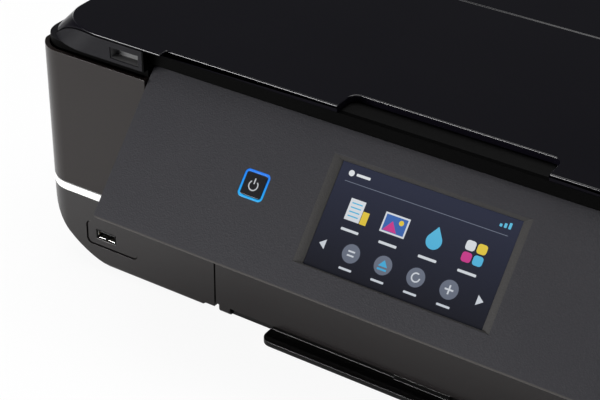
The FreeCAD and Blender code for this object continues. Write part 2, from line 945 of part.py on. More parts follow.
# Main frame: a folded sheet across the printer that holds the guide rod, the belt and the motors
BACK_Y = ("frame_rear", "frame_rear + sheet")
main_back = block("main_back", across("main_half"), BACK_Y, ("main_bottom", "main_top"))
flanges = [
    block(
        f"main_flange_{side_name}",
        mirrored(side, "main_half - sheet", "main_half"),
        ("flange_front", "frame_rear + sheet"),
        ("flange_bottom", "main_top"),
    )
    for side_name, side in SIDES
]
idler_pin = rod(
    "idler_pin",
    "y",
    ("pulley_x", "belt_z"),
    "motor_shaft",
    ("belt_y - belt_width/2 - pulley_flange - fit_gap", "frame_rear + sheet/2"),
)
piece(cut(
    "main_frame",
    fuse("main_sheet", main_back, idler_pin, *flanges),
    rod("rod_bores", "x", ("rod_y", "rod_z"), "rod_radius", across("main_half + sheet")),
    rod("shaft_bore", "y", ("-pulley_x", "belt_z"), "pulley_radius", ("feed_y", "frame_rear + 2*sheet")),
))
piece(rod("guide_rod", "x", ("rod_y", "rod_z"), "rod_radius", across("main_half")))
piece(block(
    "encoder_strip",
    across("main_half - sheet"),
    ("strip_y", "strip_y + strip_thickness"),
    ("strip_z", "strip_z + strip_height"),
))

# Motors
MOTOR_Y = ("frame_rear + sheet", "frame_rear + sheet + carriage_motor_length")
piece(fuse(
    "carriage_motor",
    rod("carriage_can", "y", ("-pulley_x", "belt_z"), "carriage_motor_radius", MOTOR_Y),
    rod(
        "carriage_shaft",
        "y",
        ("-pulley_x", "belt_z"),
        "motor_shaft",
        ("belt_y - belt_width/2 - pulley_flange - fit_gap", "frame_rear + 2*sheet"),
    ),
))
piece(fuse(
    "feed_motor",
    rod(
        "feed_can",
        "x",
        (PINION_Y, "feed_z"),
        "feed_motor_radius",
        ("-frame_x", "-frame_x + feed_motor_length"),
    ),
    rod("feed_shaft", "x", (PINION_Y, "feed_z"), "motor_shaft", (GEAR_END, "-frame_x + wall")),
))


# Belt: a flat loop round the two pulleys
def belt_loop(name, radius, y):
    ends = [
        rod(f"{name}_{side_name}", "y", (f"{side}*pulley_x", "belt_z"), radius, y) for side_name, side in SIDES
    ]
    runs = block(f"{name}_runs", across("pulley_x"), y, (f"belt_z - ({radius})", f"belt_z + ({radius})"))
    return fuse(name, runs, *ends)


BELT_Y = ("belt_y - belt_width/2", "belt_y + belt_width/2")
piece(cut(
    "carriage_belt",
    belt_loop("belt_outside", "pulley_radius + fit_gap + belt_thickness", BELT_Y),
    belt_loop("belt_inside", "pulley_radius + fit_gap", ("belt_y - belt_width", "belt_y + belt_width")),
))


# Pulleys: a toothless drum with a flange at each face
def pulley(name, x):
    drum = rod(f"{name}_drum", "y", (x, "belt_z"), "pulley_radius", (
        "belt_y - belt_width/2 - pulley_flange", "belt_y + belt_width/2 + pulley_flange"
    ))
    rims = [
        rod(f"{name}_rim_near", "y", (x, "belt_z"), "pulley_radius + pulley_rim", (
            "belt_y - belt_width/2 - pulley_flange", "belt_y - belt_width/2 - fit_gap"
        )),
        rod(f"{name}_rim_far", "y", (x, "belt_z"), "pulley_radius + pulley_rim", (
            "belt_y + belt_width/2 + fit_gap", "belt_y + belt_width/2 + pulley_flange"
        )),
    ]
    bore = rod(f"{name}_bore", "y", (x, "belt_z"), "motor_shaft + shaft_gap", ("feed_y", "frame_rear"))
    return cut(name, fuse(f"{name}_body", drum, *rims), bore)


piece(pulley("drive_pulley", "-pulley_x"))
piece(pulley("idler_pulley", "pulley_x"))

# Platen with ribs that the paper slides over
platen_y = ("platen_front", "platen_rear")
platen_base = block(
    "platen_plate", across("frame_x"), platen_y, ("platen_base", "platen_base + platen_skin")
)
ribs = []
rib_pairs = int(size("rib_pairs"))
for number in range(-rib_pairs, rib_pairs + 1):
    middle = f"{number}*rib_pitch"
    ribs.append(block(
        f"rib_{number + rib_pairs}",
        (f"{middle} - rib_width/2", f"{middle} + rib_width/2"),
        platen_y,
        ("platen_base + platen_skin/2", "platen_top"),
    ))
piece(fuse("platen", platen_base, *ribs))


# Rollers: a drum with thinner journals that turn in the frames
def roller(name, y, z, radius, half, journal, ends):
    drum = rod(f"{name}_drum", "x", (y, z), radius, across(half))
    return fuse(name, drum, rod(f"{name}_shaft", "x", (y, z), journal, ends))


FRAME_END = "frame_x + frame_thickness + gear_offset"
piece(roller(
    "feed_roller", "feed_y", "feed_z", "feed_radius", "feed_half", "feed_journal", (GEAR_END, FRAME_END)
))
exit_bar = roller(
    "exit_bar", EXIT_Y, EXIT_Z, "exit_radius", "exit_half", "exit_journal", (GEAR_END, FRAME_END)
)
piece(roller(
    "pinch_roller", "feed_y", PINCH_Z, "pinch_radius", "pinch_half", "pinch_journal", across("holder_half")
))
piece(roller(
    "pickup_roller",
    "pickup_y",
    "pickup_z",
    "pickup_radius",
    "pickup_half",
    "pickup_journal",
    across("pickup_half + pickup_ear"),
))

# Pinch holder: a shelf on the main frame with an ear at each end of the pinch roller
holder_ears = [
    block(
        f"holder_ear_{side_name}",
        mirrored(side, "holder_half - holder_thickness", "holder_half"),
        ("feed_y - pinch_radius", "feed_y + pinch_radius"),
        (f"{PINCH_Z} - pinch_radius", "holder_bottom + holder_thickness/2"),
    )
    for side_name, side in SIDES
]
holder_shelf = block(
    "holder_shelf",
    across("holder_half"),
    ("feed_y - pinch_radius", "frame_rear"),
    ("holder_bottom", "holder_bottom + holder_thickness"),
)
piece(cut(
    "pinch_holder",
    fuse("holder_body", holder_shelf, *holder_ears),
    rod("holder_bore", "x", ("feed_y", PINCH_Z), "pinch_journal + shaft_gap", across("holder_half + wall")),
))

# Pickup arm: hangs from the main frame and holds the roller over the paper
arm_ears = [
    block(
        f"pickup_ear_{side_name}",
        mirrored(side, "pickup_half + fit_gap", "pickup_half + pickup_ear"),
        ("pickup_y - pickup_radius", "frame_rear"),
        ("pickup_z - pickup_journal - wall", "arm_top"),
    )
    for side_name, side in SIDES
]
arm_bridge = block(
    "arm_bridge", across("pickup_half + pickup_ear"), ("pickup_y - pickup_radius", "frame_rear"), (
        "arm_bottom", "arm_top"
    )
)
piece(cut(
    "pickup_arm",
    fuse("arm_body", arm_bridge, *arm_ears),
    rod("arm_bore", "x", ("pickup_y", "pickup_z"), "pickup_journal + shaft_gap", across("feed_half")),
))


# Gears: straight-sided teeth with play, cut so that neighbours mesh at rest
TIP_SHARE = 0.12
ROOT_SHARE = 0.31
ADDENDUM = 0.8
DEDENDUM = 1.25


def mesh_phase(phase, teeth, mate_teeth, direction):
    """The mate's turn that sets one of its gaps on the first gear's tooth nearest to their line of centres."""
    pitch = 2*math.pi/teeth
    lead = (phase - direction + pitch/2) % pitch - pitch/2
    return direction + math.pi - lead*teeth/mate_teeth + math.pi/mate_teeth


def gear(name, teeth, phase, y, z, bore):
    module = size("gear_module")
    pitch = 2*math.pi/teeth
    root = module*(teeth/2 - DEDENDUM)
    tip = module*(teeth/2 + ADDENDUM)
    corners = []
    for number in range(teeth):
        centre = phase + number*pitch
        for radius, share in ((root, -ROOT_SHARE), (tip, -TIP_SHARE), (tip, TIP_SHARE), (root, ROOT_SHARE)):
            angle = centre + share*pitch
            corners.append(FreeCAD.Vector(0, radius*math.cos(angle), radius*math.sin(angle)))
    face = Part.Face(Part.makePolygon(corners + corners[:1]))
    wheel = face.extrude(FreeCAD.Vector(size("gear_width"), 0, 0))
    hole = Part.makeCylinder(bore, size("gear_width"), FreeCAD.Vector(), UNIT["x"])
    toothed = doc.addObject("Part::Feature", name)
    toothed.Shape = wheel.cut(hole)
    bind(toothed, {"Placement.Base.x": GEAR_X[0], "Placement.Base.y": y, "Placement.Base.z": z})
    return toothed


feed_teeth = int(size("feed_teeth"))
idler_teeth = int(size("idler_teeth"))
exit_teeth = int(size("exit_teeth"))
pinion_teeth = int(size("pinion_teeth"))
feed_idler = size("gear_module")*(feed_teeth + idler_teeth)/2
idler_exit = size("gear_module")*(idler_teeth + exit_teeth)/2
drop = size("idler_drop")
rise = drop - size("exit_drop")
to_idler = math.atan2(-drop, -math.sqrt(feed_idler**2 - drop**2))
to_exit = math.atan2(rise, -math.sqrt(idler_exit**2 - rise**2))
feed_phase = to_idler
idler_phase = mesh_phase(feed_phase, feed_teeth, idler_teeth, to_idler)
exit_phase = mesh_phase(idler_phase, idler_teeth, exit_teeth, to_exit)
pinion_phase = mesh_phase(feed_phase, feed_teeth, pinion_teeth, 0.0)
piece(gear("feed_gear", feed_teeth, feed_phase, "feed_y", "feed_z", size("feed_journal") + size("shaft_gap")))
piece(gear("idler_gear", idler_teeth, idler_phase, IDLER_Y, IDLER_Z, size("stud_radius") + size("shaft_gap")))
exit_gear = gear("exit_gear", exit_teeth, exit_phase, EXIT_Y, EXIT_Z, size("exit_journal") - size("shaft_gap"))
piece(fuse("exit_roller", exit_bar, exit_gear))
PINION_BORE = size("motor_shaft") + size("shaft_gap")
piece(gear("motor_pinion", pinion_teeth, pinion_phase, PINION_Y, "feed_z", PINION_BORE))

# Print carriage: an open tub with a rear arm that slides on the guide rod and grips the belt
CARRIAGE_X = ("carriage_park - carriage_half", "carriage_park + carriage_half")
tub = cut(
    "carriage_tub",
    block("tub_blank", CARRIAGE_X, ("carriage_front", "carriage_rear"), ("carriage_bottom", "carriage_top")),
    block(
        "tub_hollow",
        ("carriage_park - carriage_half + carriage_wall", "carriage_park + carriage_half - carriage_wall"),
        ("carriage_front + carriage_wall", "carriage_rear - carriage_wall"),
        ("carriage_bottom + carriage_floor", "carriage_top + wall"),
    ),
)
ARM_X = ("carriage_park - arm_half", "carriage_park + arm_half")
arm = block("carriage_arm", ARM_X, ("carriage_rear - carriage_wall/2", "rod_y + rod_radius + bush_wall"), (
    "rod_z - rod_radius - bush_wall", "rod_z + rod_radius + clamp_wall"
))
RUN_Z = "(belt_z - pulley_radius - fit_gap - belt_thickness/2)"
clamp = cut(
    "belt_clamp",
    block(
        "clamp_blank",
        ("carriage_park - clamp_half", "carriage_park + clamp_half"),
        ("rod_y + rod_radius + clamp_wall", "belt_y + belt_width/2 + fit_gap + clamp_wall"),
        ("rod_z", f"{RUN_Z} + belt_thickness/2 + fit_gap + clamp_wall"),
    ),
    block(
        "clamp_slot",
        across(FAR),
        ("belt_y - belt_width/2 - fit_gap", "belt_y + belt_width/2 + fit_gap"),
        (f"{RUN_Z} - belt_thickness/2 - fit_gap", f"{RUN_Z} + belt_thickness/2 + fit_gap"),
    ),
)
piece(cut(
    "carriage",
    fuse("carriage_body", tub, arm, clamp),
    rod("carriage_bore", "x", ("rod_y", "rod_z"), "rod_radius + shaft_gap", across(FAR)),
))
piece(block(
    "print_head",
    ("carriage_park - head_half", "carriage_park + head_half"),
    ("carriage_front + head_inset", "carriage_rear - head_inset"),
    ("carriage_bottom - head_height", "carriage_bottom"),
))
CARTRIDGE_PITCH = "((2*carriage_half - 2*carriage_wall)/cartridge_count)"
cartridges = []
for number in range(int(size("cartridge_count"))):
    left = f"carriage_park - carriage_half + carriage_wall + {number}*{CARTRIDGE_PITCH}"
    cartridges.append(block(
        f"cartridge_{number + 1}",
        (f"{left} + fit_gap/2", f"{left} + {CARTRIDGE_PITCH} - fit_gap/2"),
        ("carriage_front + carriage_wall + fit_gap", "carriage_rear - carriage_wall - fit_gap"),
        ("carriage_bottom + carriage_floor", "carriage_top + cartridge_rise"),
    ))
piece(group("ink_cartridges", *cartridges))

# Paper drawer: the front follows the housing's outline; the tray behind it has a pull lip in front
drawer_skin = layer("drawer_skin", shell, ("0", "drawer_top"))
drawer_zone = block(
    "drawer_zone", across("drawer_half"), ("front_y - wall", "front_y + wall"), ("drawer_bottom", "drawer_top")
)
tabs = [
    block(
        f"drawer_tab_{side_name}",
        mirrored(side, "tab_inner", "tab_outer"),
        ("front_y - wall", "front_y + wall"),
        ("ground_gap", "drawer_bottom + wall"),
    )
    for side_name, side in SIDES
]
piece(common("drawer_front", drawer_skin, fuse("drawer_mask", drawer_zone, *tabs)))
TRAY_Y = ("front_y + wall", "front_y + wall + tray_length")
TRAY_BOTTOM = "ground_gap + fit_gap"
tray_box = cut(
    "tray_box",
    block("tray_blank", across("tray_half"), TRAY_Y, (TRAY_BOTTOM, "tray_top")),
    block(
        "tray_hollow",
        across("tray_half - tray_wall"),
        (f"{TRAY_Y[0]} + tray_wall", f"{TRAY_Y[1]} - tray_wall"),
        (f"{TRAY_BOTTOM} + tray_wall", "tray_top + wall"),
    ),
    block(
        "tray_rear_cut",
        across("tray_half - tray_wall"),
        (f"{TRAY_Y[1]} - 2*tray_wall", f"{TRAY_Y[1]} + wall"),
        ("tray_rear_top", "tray_top + wall"),
    ),
)
lip = rounded_block(
    "pull_lip",
    across("lip_half"),
    ("front_y - lip_reach", "front_y + lip_root"),
    ("lip_top - lip_thickness", "lip_top"),
    "lip_corner",
    keep=lambda middle: middle.y < size("front_y"),
)
grip = block(
    "lip_grip",
    across("grip_half"),
    ("front_y + wall - grip_reach", "front_y + wall + tray_wall"),
    ("lip_top - lip_thickness/2", "lip_top + grip_height"),
)
piece(fuse("paper_tray", tray_box, lip, grip))
for side_name, side in SIDES:
    guide_y = ("front_y + guide_setback", "front_y + guide_setback + guide_length")
    floor = f"{TRAY_BOTTOM} + tray_wall"
    fence = block(
        f"fence_{side_name}",
        mirrored(side, "guide_x", "guide_x + guide_thickness"),
        guide_y,
        (f"{floor} + fit_gap", "guide_top"),
    )
    foot = block(
        f"fence_foot_{side_name}",
        mirrored(side, "guide_x", "guide_x + guide_foot"),
        guide_y,
        (f"{floor} + fit_gap", f"{floor} + fit_gap + guide_thickness"),
    )
    piece(fuse(f"edge_guide_{side_name}", fence, foot))

# Output tray and the extension that slides inside it
OUT_Y = ("front_y + out_setback", "front_y + out_setback + out_length")
piece(cut(
    "output_tray",
    block("out_blank", across("out_half"), OUT_Y, ("out_bottom", "out_bottom + out_thickness")),
    block(
        "out_slot",
        across("ext_half + fit_gap"),
        ("front_y - wall", "front_y + out_setback + ext_length + fit_gap"),
        ("out_bottom + out_skin", "out_bottom + out_thickness - out_skin"),
    ),
))
piece(block(
    "tray_extension",
    across("ext_half"),
    ("front_y + out_setback", "front_y + out_setback + ext_length"),
    ("out_bottom + out_skin + fit_gap", "out_bottom + out_thickness - out_skin - fit_gap"),
))

# Scanner unit and lid share one outline: sides that lean in towards the lid's top, and rounded corners.
# The grey strip in front arches down towards both sides, and the lid follows it as a skirt.
LEAN = "((rim_half - top_half)/(lid_top - rim_bottom))"
SPARE = "(2*top_corner)"
top_form = doc.addObject("PartDesign::Body", "top_form")
leaning = top_form.newObject("PartDesign::AdditiveWedge", "leaning_sides")
leaning.Placement = FreeCAD.Placement(FreeCAD.Vector(), FreeCAD.Rotation(UNIT["x"], 90))
bind(leaning, {
    "Ymin": f"rim_bottom - {SPARE}",
    "Ymax": f"lid_top + {SPARE}",
    "Xmin": f"-rim_half - {SPARE}*{LEAN}",
    "Xmax": f"rim_half + {SPARE}*{LEAN}",
    "Zmin": f"-{REAR}",
    "Zmax": "-front_y",
    "X2min": f"-top_half + {SPARE}*{LEAN}",
    "X2max": f"top_half - {SPARE}*{LEAN}",
    "Z2min": f"-{REAR}",
    "Z2max": "-front_y",
})
round_edges(top_form, leaning, "top_corner", "z")
HINGE_Y = f"({REAR} - hinge_back)"


def arch(name, clearance):
    """A long block whose upper side edges are arched like the top of the strip, grown by a clearance."""
    return rounded_block(
        name,
        across(f"strip_flat + strip_round + {clearance}"),
        ("front_y - wall", f"{REAR} + wall"),
        ("rim_bottom - 2*strip_round", f"strip_top + {clearance}"),
        f"strip_round + {clearance}",
        "y",
    )


rim = common("rim_ring", layer("rim_layer", top_form, ("rim_bottom", "lid_top")), arch("strip_arch", "0"))
tub_body = rounded_block(
    "tub_body",
    across(f"{HALF} - tub_inset"),
    ("front_y + tub_front", f"{REAR} - tub_rear"),
    ("tub_bottom", "rim_bottom + wall/2"),
    "corner_radius - tub_inset",
)
flange = rounded_block(
    "closing_flange",
    across(f"{HALF} - flange_inset"),
    ("front_y + flange_front", f"{REAR} - flange_rear"),
    ("case_top + flange_gap", "rim_bottom"),
    "corner_radius - flange_inset",
)
CAVITY_Y = ("front_y + cavity_front", f"{REAR} - cavity_rear")
scanner_cuts = [
    block("lid_well", across(FAR), ("front_y + lid_well", f"{REAR} + wall"), ("rim_top", "lid_top")),
    block(
        "tub_cavity",
        across("cavity_half"),
        CAVITY_Y,
        ("tub_bottom + tub_floor", "rim_top - seat_depth - seat_skin"),
    ),
    block("frame_opening", across("seat_half - seat_ledge"), CAVITY_Y, ("tub_bottom + tub_floor", "lid_top")),
    block(
        "frame_seat",
        across("seat_half"),
        ("front_y + seat_front", f"{REAR} - seat_rear"),
        ("rim_top - seat_depth", "rim_top + wall"),
    ),
    block(
        "ledge_cut",
        across(PANEL_SIDE),
        ("front_y - wall", "front_y + ledge_setback"),
        ("tub_bottom", "lid_top"),
    ),
    block(
        "swing_cut",
        across(PANEL_SIDE),
        ("front_y - wall", "front_y + swing_setback"),
        ("tub_bottom", "swing_top"),
    ),
    block("rear_cut", across(FAR), (f"{REAR} - seat_rear", f"{REAR} + wall"), ("rear_top", "lid_top")),
]
lugs = []
for side_name, side in SIDES:
    scanner_cuts.append(block(
        f"pocket_{side_name}",
        mirrored(side, "pocket_inner", "pocket_outer"),
        ("front_y - wall", "front_y + pocket_depth"),
        ("pocket_bottom", "pocket_top"),
    ))
    scanner_cuts.append(block(
        f"rear_side_cut_{side_name}",
        mirrored(side, "rear_side", FAR),
        (f"{REAR} - seat_rear", f"{REAR} + wall"),
        ("rear_side_top", "lid_top"),
    ))
    knuckle_half = "(hinge_lug + hinge_ear + hinge_slack)"
    scanner_cuts.append(block(
        f"hinge_gap_{side_name}",
        (f"{side}*hinge_x - {knuckle_half}", f"{side}*hinge_x + {knuckle_half}"),
        (f"{HINGE_Y} - hinge_knuckle - 2*hinge_slack", f"{REAR} + wall"),
        ("tub_bottom", "hinge_z + hinge_knuckle + hinge_slack"),
    ))
    lug_x = (f"{side}*hinge_x - hinge_lug + hinge_slack", f"{side}*hinge_x + hinge_lug - hinge_slack")
    lug = fuse(
        f"lug_{side_name}",
        rod(f"lug_eye_{side_name}", "x", (HINGE_Y, "hinge_z"), "hinge_knuckle", lug_x),
        block(
            f"lug_stem_{side_name}",
            lug_x,
            (f"{HINGE_Y} - hinge_knuckle", f"{HINGE_Y} + hinge_knuckle"),
            ("hinge_z", "rear_top"),
        ),
    )
    lugs.append(lug)
scanner_shell = cut("scanner_shell", fuse("scanner_blank", rim, tub_body, flange), *scanner_cuts)
piece(cut(
    "scanner_base",
    fuse("scanner_hinged", scanner_shell, *lugs),
    rod("lug_bore", "x", (HINGE_Y, "hinge_z"), "hinge_pin + shaft_gap", across(FAR)),
))

# Scanner hinges: brackets on the rear wall with ears and a pin through the scanner's lugs
hinges = []
for side_name, side in SIDES:
    middle = f"{side}*hinge_x"
    outside = (f"{middle} - hinge_lug - hinge_ear", f"{middle} + hinge_lug + hinge_ear")
    inside = (f"{middle} - hinge_lug", f"{middle} + hinge_lug")
    inner_face = f"{REAR} - wall"
    root = block(
        f"hinge_root_{side_name}",
        outside,
        (f"{HINGE_Y} - hinge_knuckle", inner_face),
        ("hinge_root", "case_top - rear_dip"),
    )
    upright = block(
        f"hinge_upright_{side_name}",
        outside,
        (f"{HINGE_Y} - hinge_knuckle", f"{HINGE_Y} + hinge_knuckle"),
        ("case_top - rear_dip", "hinge_z"),
    )
    eye = rod(f"hinge_eye_{side_name}", "x", (HINGE_Y, "hinge_z"), "hinge_knuckle", outside)
    slot = block(
        f"hinge_slot_{side_name}",
        inside,
        (f"{HINGE_Y} - 3*hinge_knuckle", f"{REAR} + wall"),
        ("hinge_z - hinge_knuckle - hinge_slack", "lid_top"),
    )
    forked = cut(f"hinge_fork_{side_name}", fuse(f"hinge_body_{side_name}", root, upright, eye), slot)
    pin = rod(f"hinge_pin_{side_name}", "x", (HINGE_Y, "hinge_z"), "hinge_pin", outside)
    hinges.append(fuse(f"hinge_{side_name}", forked, pin))
piece(group("scanner_hinges", *hinges))

# Scanner top frame, glass, guide rod and scan bar
GLASS_Y = ("front_y + glass_front", "front_y + glass_front + glass_length")
frame_plate = block(
    "frame_plate",
    across("seat_half - fit_gap"),
    ("front_y + seat_front + fit_gap", f"{REAR} - seat_rear - fit_gap"),
    ("rim_top - seat_depth", "rim_top"),
)
piece(cut(
    "scanner_frame",
    frame_plate,
    block("glass_seat", across("glass_half"), GLASS_Y, ("rim_top - glass_thickness", "rim_top + wall")),
    block(
        "glass_window",
        across("glass_half - glass_ledge"),
        (f"{GLASS_Y[0]} + glass_ledge", f"{GLASS_Y[1]} - glass_ledge"),
        ("tub_bottom", "rim_top + wall"),
    ),
))
piece(block(
    "scanner_glass",
    across("glass_half - screen_gap"),
    (f"{GLASS_Y[0]} + screen_gap", f"{GLASS_Y[1]} - screen_gap"),
    ("rim_top - glass_thickness", "rim_top"),
))
piece(rod("scan_rod", "x", ("scan_rod_y", "scan_rod_z"), "scan_rod_radius", across("cavity_half")))
piece(cut(
    "scan_bar",
    block(
        "scan_blank",
        ("-scan_park - scan_half", "-scan_park + scan_half"),
        (f"{GLASS_Y[0]} + glass_ledge", f"{GLASS_Y[1]} - glass_ledge"),
        ("scan_bottom", "scan_top"),
    ),
    rod("scan_bore", "x", ("scan_rod_y", "scan_rod_z"), "scan_rod_radius + shaft_gap", across(FAR)),
))

# Lid with its finger notch, the white mat under it and the hinge blocks behind it
LID_BOTTOM = "(rim_top + lid_gap)"
LID_HINGE_Y = f"({REAR} - lid_hinge_back)"
lid_body = block(
    "lid_body", across(FAR), ("front_y + lid_well + lid_gap", f"{REAR} + 2*wall"), (LID_BOTTOM, "lid_top + wall")
)
lid_space = cut("lid_space", arch("lid_arch", "lid_gap"), lid_body)
lid_slab = cut("lid_slab", layer("lid_form", top_form, ("skirt_bottom", "lid_top")), lid_space)
notch = rounded_block(
    "finger_notch",
    across("lid_notch_x"),
    ("front_y - corner_radius", "front_y + lid_notch"),
    ("rim_top", "lid_top + wall"),
    "lid_notch_corner",
)
lid_cuts = [
    notch,
    block(
        "lid_step_cut",
        across("lid_step_x"),
        ("front_y - wall", "front_y + lid_step"),
        ("rim_top", "lid_top + wall"),
    ),
    block(
        "lid_rear_cut", across(FAR), (f"{REAR} - lid_rear", f"{REAR} + wall"), ("rim_bottom", "lid_top + wall")
    ),
    block(
        "lid_groove_cut",
        across("top_half - corner_radius"),
        ("front_y + lid_groove_y", "front_y + lid_groove_y + lid_groove"),
        ("lid_top - lid_groove", "lid_top + wall"),
    ),
    block(
        "mat_recess",
        across("mat_half + screen_gap"),
        ("front_y + mat_front - screen_gap", "front_y + mat_front + mat_length + screen_gap"),
        ("rim_top", f"{LID_BOTTOM} - mat_drop + mat_thickness"),
    ),
]
lid_hinges = []
for side_name, side in SIDES:
    middle = f"{side}*lid_hinge_x"
    lid_cuts.append(block(
        f"lid_slot_{side_name}",
        (f"{middle} - lid_hinge_half - fit_gap", f"{middle} + lid_hinge_half + fit_gap"),
        (f"{LID_HINGE_Y} - lid_hinge_reach - lid_slack", f"{REAR} + wall"),
        ("rim_top", "lid_top + wall"),
    ))
    lid_cuts.append(rod(
        f"lid_bore_{side_name}",
        "x",
        (LID_HINGE_Y, "lid_hinge_z"),
        "lid_pin + shaft_gap",
        (
            f"{middle} - lid_hinge_half - lid_pin_length - fit_gap",
            f"{middle} + lid_hinge_half + lid_pin_length + fit_gap",
        ),
    ))
    lid_hinges.append(fuse(
        f"lid_hinge_{side_name}",
        block(
            f"lid_hinge_block_{side_name}",
            (f"{middle} - lid_hinge_half", f"{middle} + lid_hinge_half"),
            (f"{LID_HINGE_Y} - lid_hinge_reach", f"{LID_HINGE_Y} + lid_hinge_reach"),
            ("rear_top", "lid_hinge_z + lid_hinge_top"),
        ),
        rod(
            f"lid_pin_{side_name}",
            "x",
            (LID_HINGE_Y, "lid_hinge_z"),
            "lid_pin",
            (f"{middle} - lid_hinge_half - lid_pin_length", f"{middle} + lid_hinge_half + lid_pin_length"),
        ),
    ))
piece(cut("lid_cover", lid_slab, *lid_cuts))
piece(block(
    "lid_mat",
    across("mat_half"),
    ("front_y + mat_front", "front_y + mat_front + mat_length"),
    (f"{LID_BOTTOM} - mat_drop", f"{LID_BOTTOM} - mat_drop + mat_thickness"),
))
piece(group("lid_hinges", *lid_hinges))


# Control panel: built upright round its tilt axis, then leaned forward about it
def tilted(obj):
    obj.Placement = FreeCAD.Placement(FreeCAD.Vector(), FreeCAD.Rotation(UNIT["x"], 0))
    bind(obj, {
        "Placement.Base.y": "front_y + pivot_depth",
        "Placement.Base.z": "pivot_z",
        "Placement.Rotation.Angle": "-panel_tilt",
    })
    return piece(obj)


FACE_Y = ("-pivot_depth", "-pivot_depth + face_thickness")
SCREEN_FRONT = "-pivot_depth + screen_sink"


def down_face(start, end):
    """A Z range given by distances down the face from its top edge."""
    return (f"pivot_drop - ({end})", f"pivot_drop - ({start})")


BUTTON_HALF = "button_size/2"
RING_HALF = "(button_size/2 + ring_gap + ring_width)"
BUTTON_Z = "(pivot_drop - button_fall)"


def button_block(name, half, y, corner):
    return rounded_block(
        name,
        (f"button_x - {half}", f"button_x + {half}"),
        y,
        (f"{BUTTON_Z} - {half}", f"{BUTTON_Z} + {half}"),
        corner,
        "y",
    )


face_blank = rounded_block(
    "face_blank", across("panel_half"), FACE_Y, down_face("0", "panel_length"), "face_corner", "y"
)
screen_window = block(
    "screen_window",
    across("screen_half"),
    ("-2*pivot_depth", "pivot_depth"),
    down_face("screen_start", "screen_end"),
)
screen_bevel = wedge(
    "screen_bevel",
    ("-pivot_depth", SCREEN_FRONT),
    (across("bevel_half"), down_face("bevel_start", "bevel_end")),
    (across("screen_half"), down_face("screen_start", "screen_end")),
)
button_hole = button_block(
    "button_hole",
    f"({RING_HALF} + screen_gap)",
    ("-2*pivot_depth", "pivot_depth"),
    "button_corner + ring_gap + ring_width + screen_gap",
)
tilted(cut("panel_face", face_blank, screen_window, screen_bevel, button_hole))

BACK_Z = ("pivot_drop - panel_length + back_bottom", "back_top")
back_shell = cut(
    "back_shell",
    block("back_blank", across("panel_half - back_inset"), (FACE_Y[1], "back_depth"), BACK_Z),
    block(
        "back_hollow",
        across("panel_half - back_inset - back_wall"),
        (f"{FACE_Y[1]} - wall", "back_depth - back_wall"),
        (f"{BACK_Z[0]} + back_wall", f"{BACK_Z[1]} - back_wall"),
    ),
)
pivot_pins = [
    rod(
        f"pivot_pin_{side_name}",
        "x",
        ("0", "0"),
        "pivot_radius",
        mirrored(side, "panel_half - back_inset - back_wall", f"{PANEL_SIDE} + return_wall - fit_gap"),
    )
    for side_name, side in SIDES
]
tilted(fuse("panel_back", back_shell, *pivot_pins))
tilted(group("touch_screen", block(
    "screen_slab",
    across("screen_half - screen_gap"),
    (SCREEN_FRONT, f"{SCREEN_FRONT} + screen_thickness"),
    down_face("screen_start + screen_gap", "screen_end - screen_gap"),
)))
ring_blank = button_block(
    "ring_blank",
    RING_HALF,
    ("-pivot_depth", "-pivot_depth + ring_depth"),
    "button_corner + ring_gap + ring_width",
)
ring_hole = button_block(
    "ring_hole", "(button_size/2 + ring_gap)", ("-2*pivot_depth", "pivot_depth"), "button_corner + ring_gap"
)
tilted(cut("light_ring", ring_blank, ring_hole))
tilted(button_block(
    "power_button",
    BUTTON_HALF,
    ("-pivot_depth - button_proud", "-pivot_depth - button_proud + button_depth"),
    "button_corner",
))

# Write one file for each piece once the whole document is sound
doc.recompute()
faults = [obj.Name for obj in doc.Objects if "Invalid" in obj.State or "Error" in obj.State]
for obj in pieces:
    if obj.Shape.isNull() or not obj.Shape.isValid() or not obj.Shape.Solids:
        faults.append(obj.Label)
if faults:
    raise RuntimeError("unsound: " + ", ".join(faults))
os.makedirs("parts", exist_ok=True)
for obj in pieces:
    obj.Shape.exportStep(os.path.join("parts", f"{obj.Label}.step"))
print(len(pieces), "pieces")
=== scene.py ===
import bmesh
import bpy
import json
import math
from mathutils import Matrix, Vector


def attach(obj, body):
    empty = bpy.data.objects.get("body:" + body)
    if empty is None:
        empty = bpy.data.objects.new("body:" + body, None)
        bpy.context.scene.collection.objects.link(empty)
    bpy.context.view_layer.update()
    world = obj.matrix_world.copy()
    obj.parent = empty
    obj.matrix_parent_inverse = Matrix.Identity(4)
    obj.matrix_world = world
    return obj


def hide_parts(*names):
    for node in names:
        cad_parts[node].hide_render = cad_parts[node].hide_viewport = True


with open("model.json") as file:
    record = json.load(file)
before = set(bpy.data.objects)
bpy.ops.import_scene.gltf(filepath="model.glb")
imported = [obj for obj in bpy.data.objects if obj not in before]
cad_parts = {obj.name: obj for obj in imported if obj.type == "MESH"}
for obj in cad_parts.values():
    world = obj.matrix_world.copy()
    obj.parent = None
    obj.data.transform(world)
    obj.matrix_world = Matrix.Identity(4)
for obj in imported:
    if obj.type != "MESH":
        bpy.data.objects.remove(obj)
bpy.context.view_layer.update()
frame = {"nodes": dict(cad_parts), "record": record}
scene = bpy.context.scene
nodes = frame["nodes"]
body_of = {node: body for body, group in frame["record"]["behaviour"]["bodies"].items() for node in group}
slot_of = {entry["node"]: entry["material_slot"] for entry in frame["record"]["subparts"]}

MM = 0.001

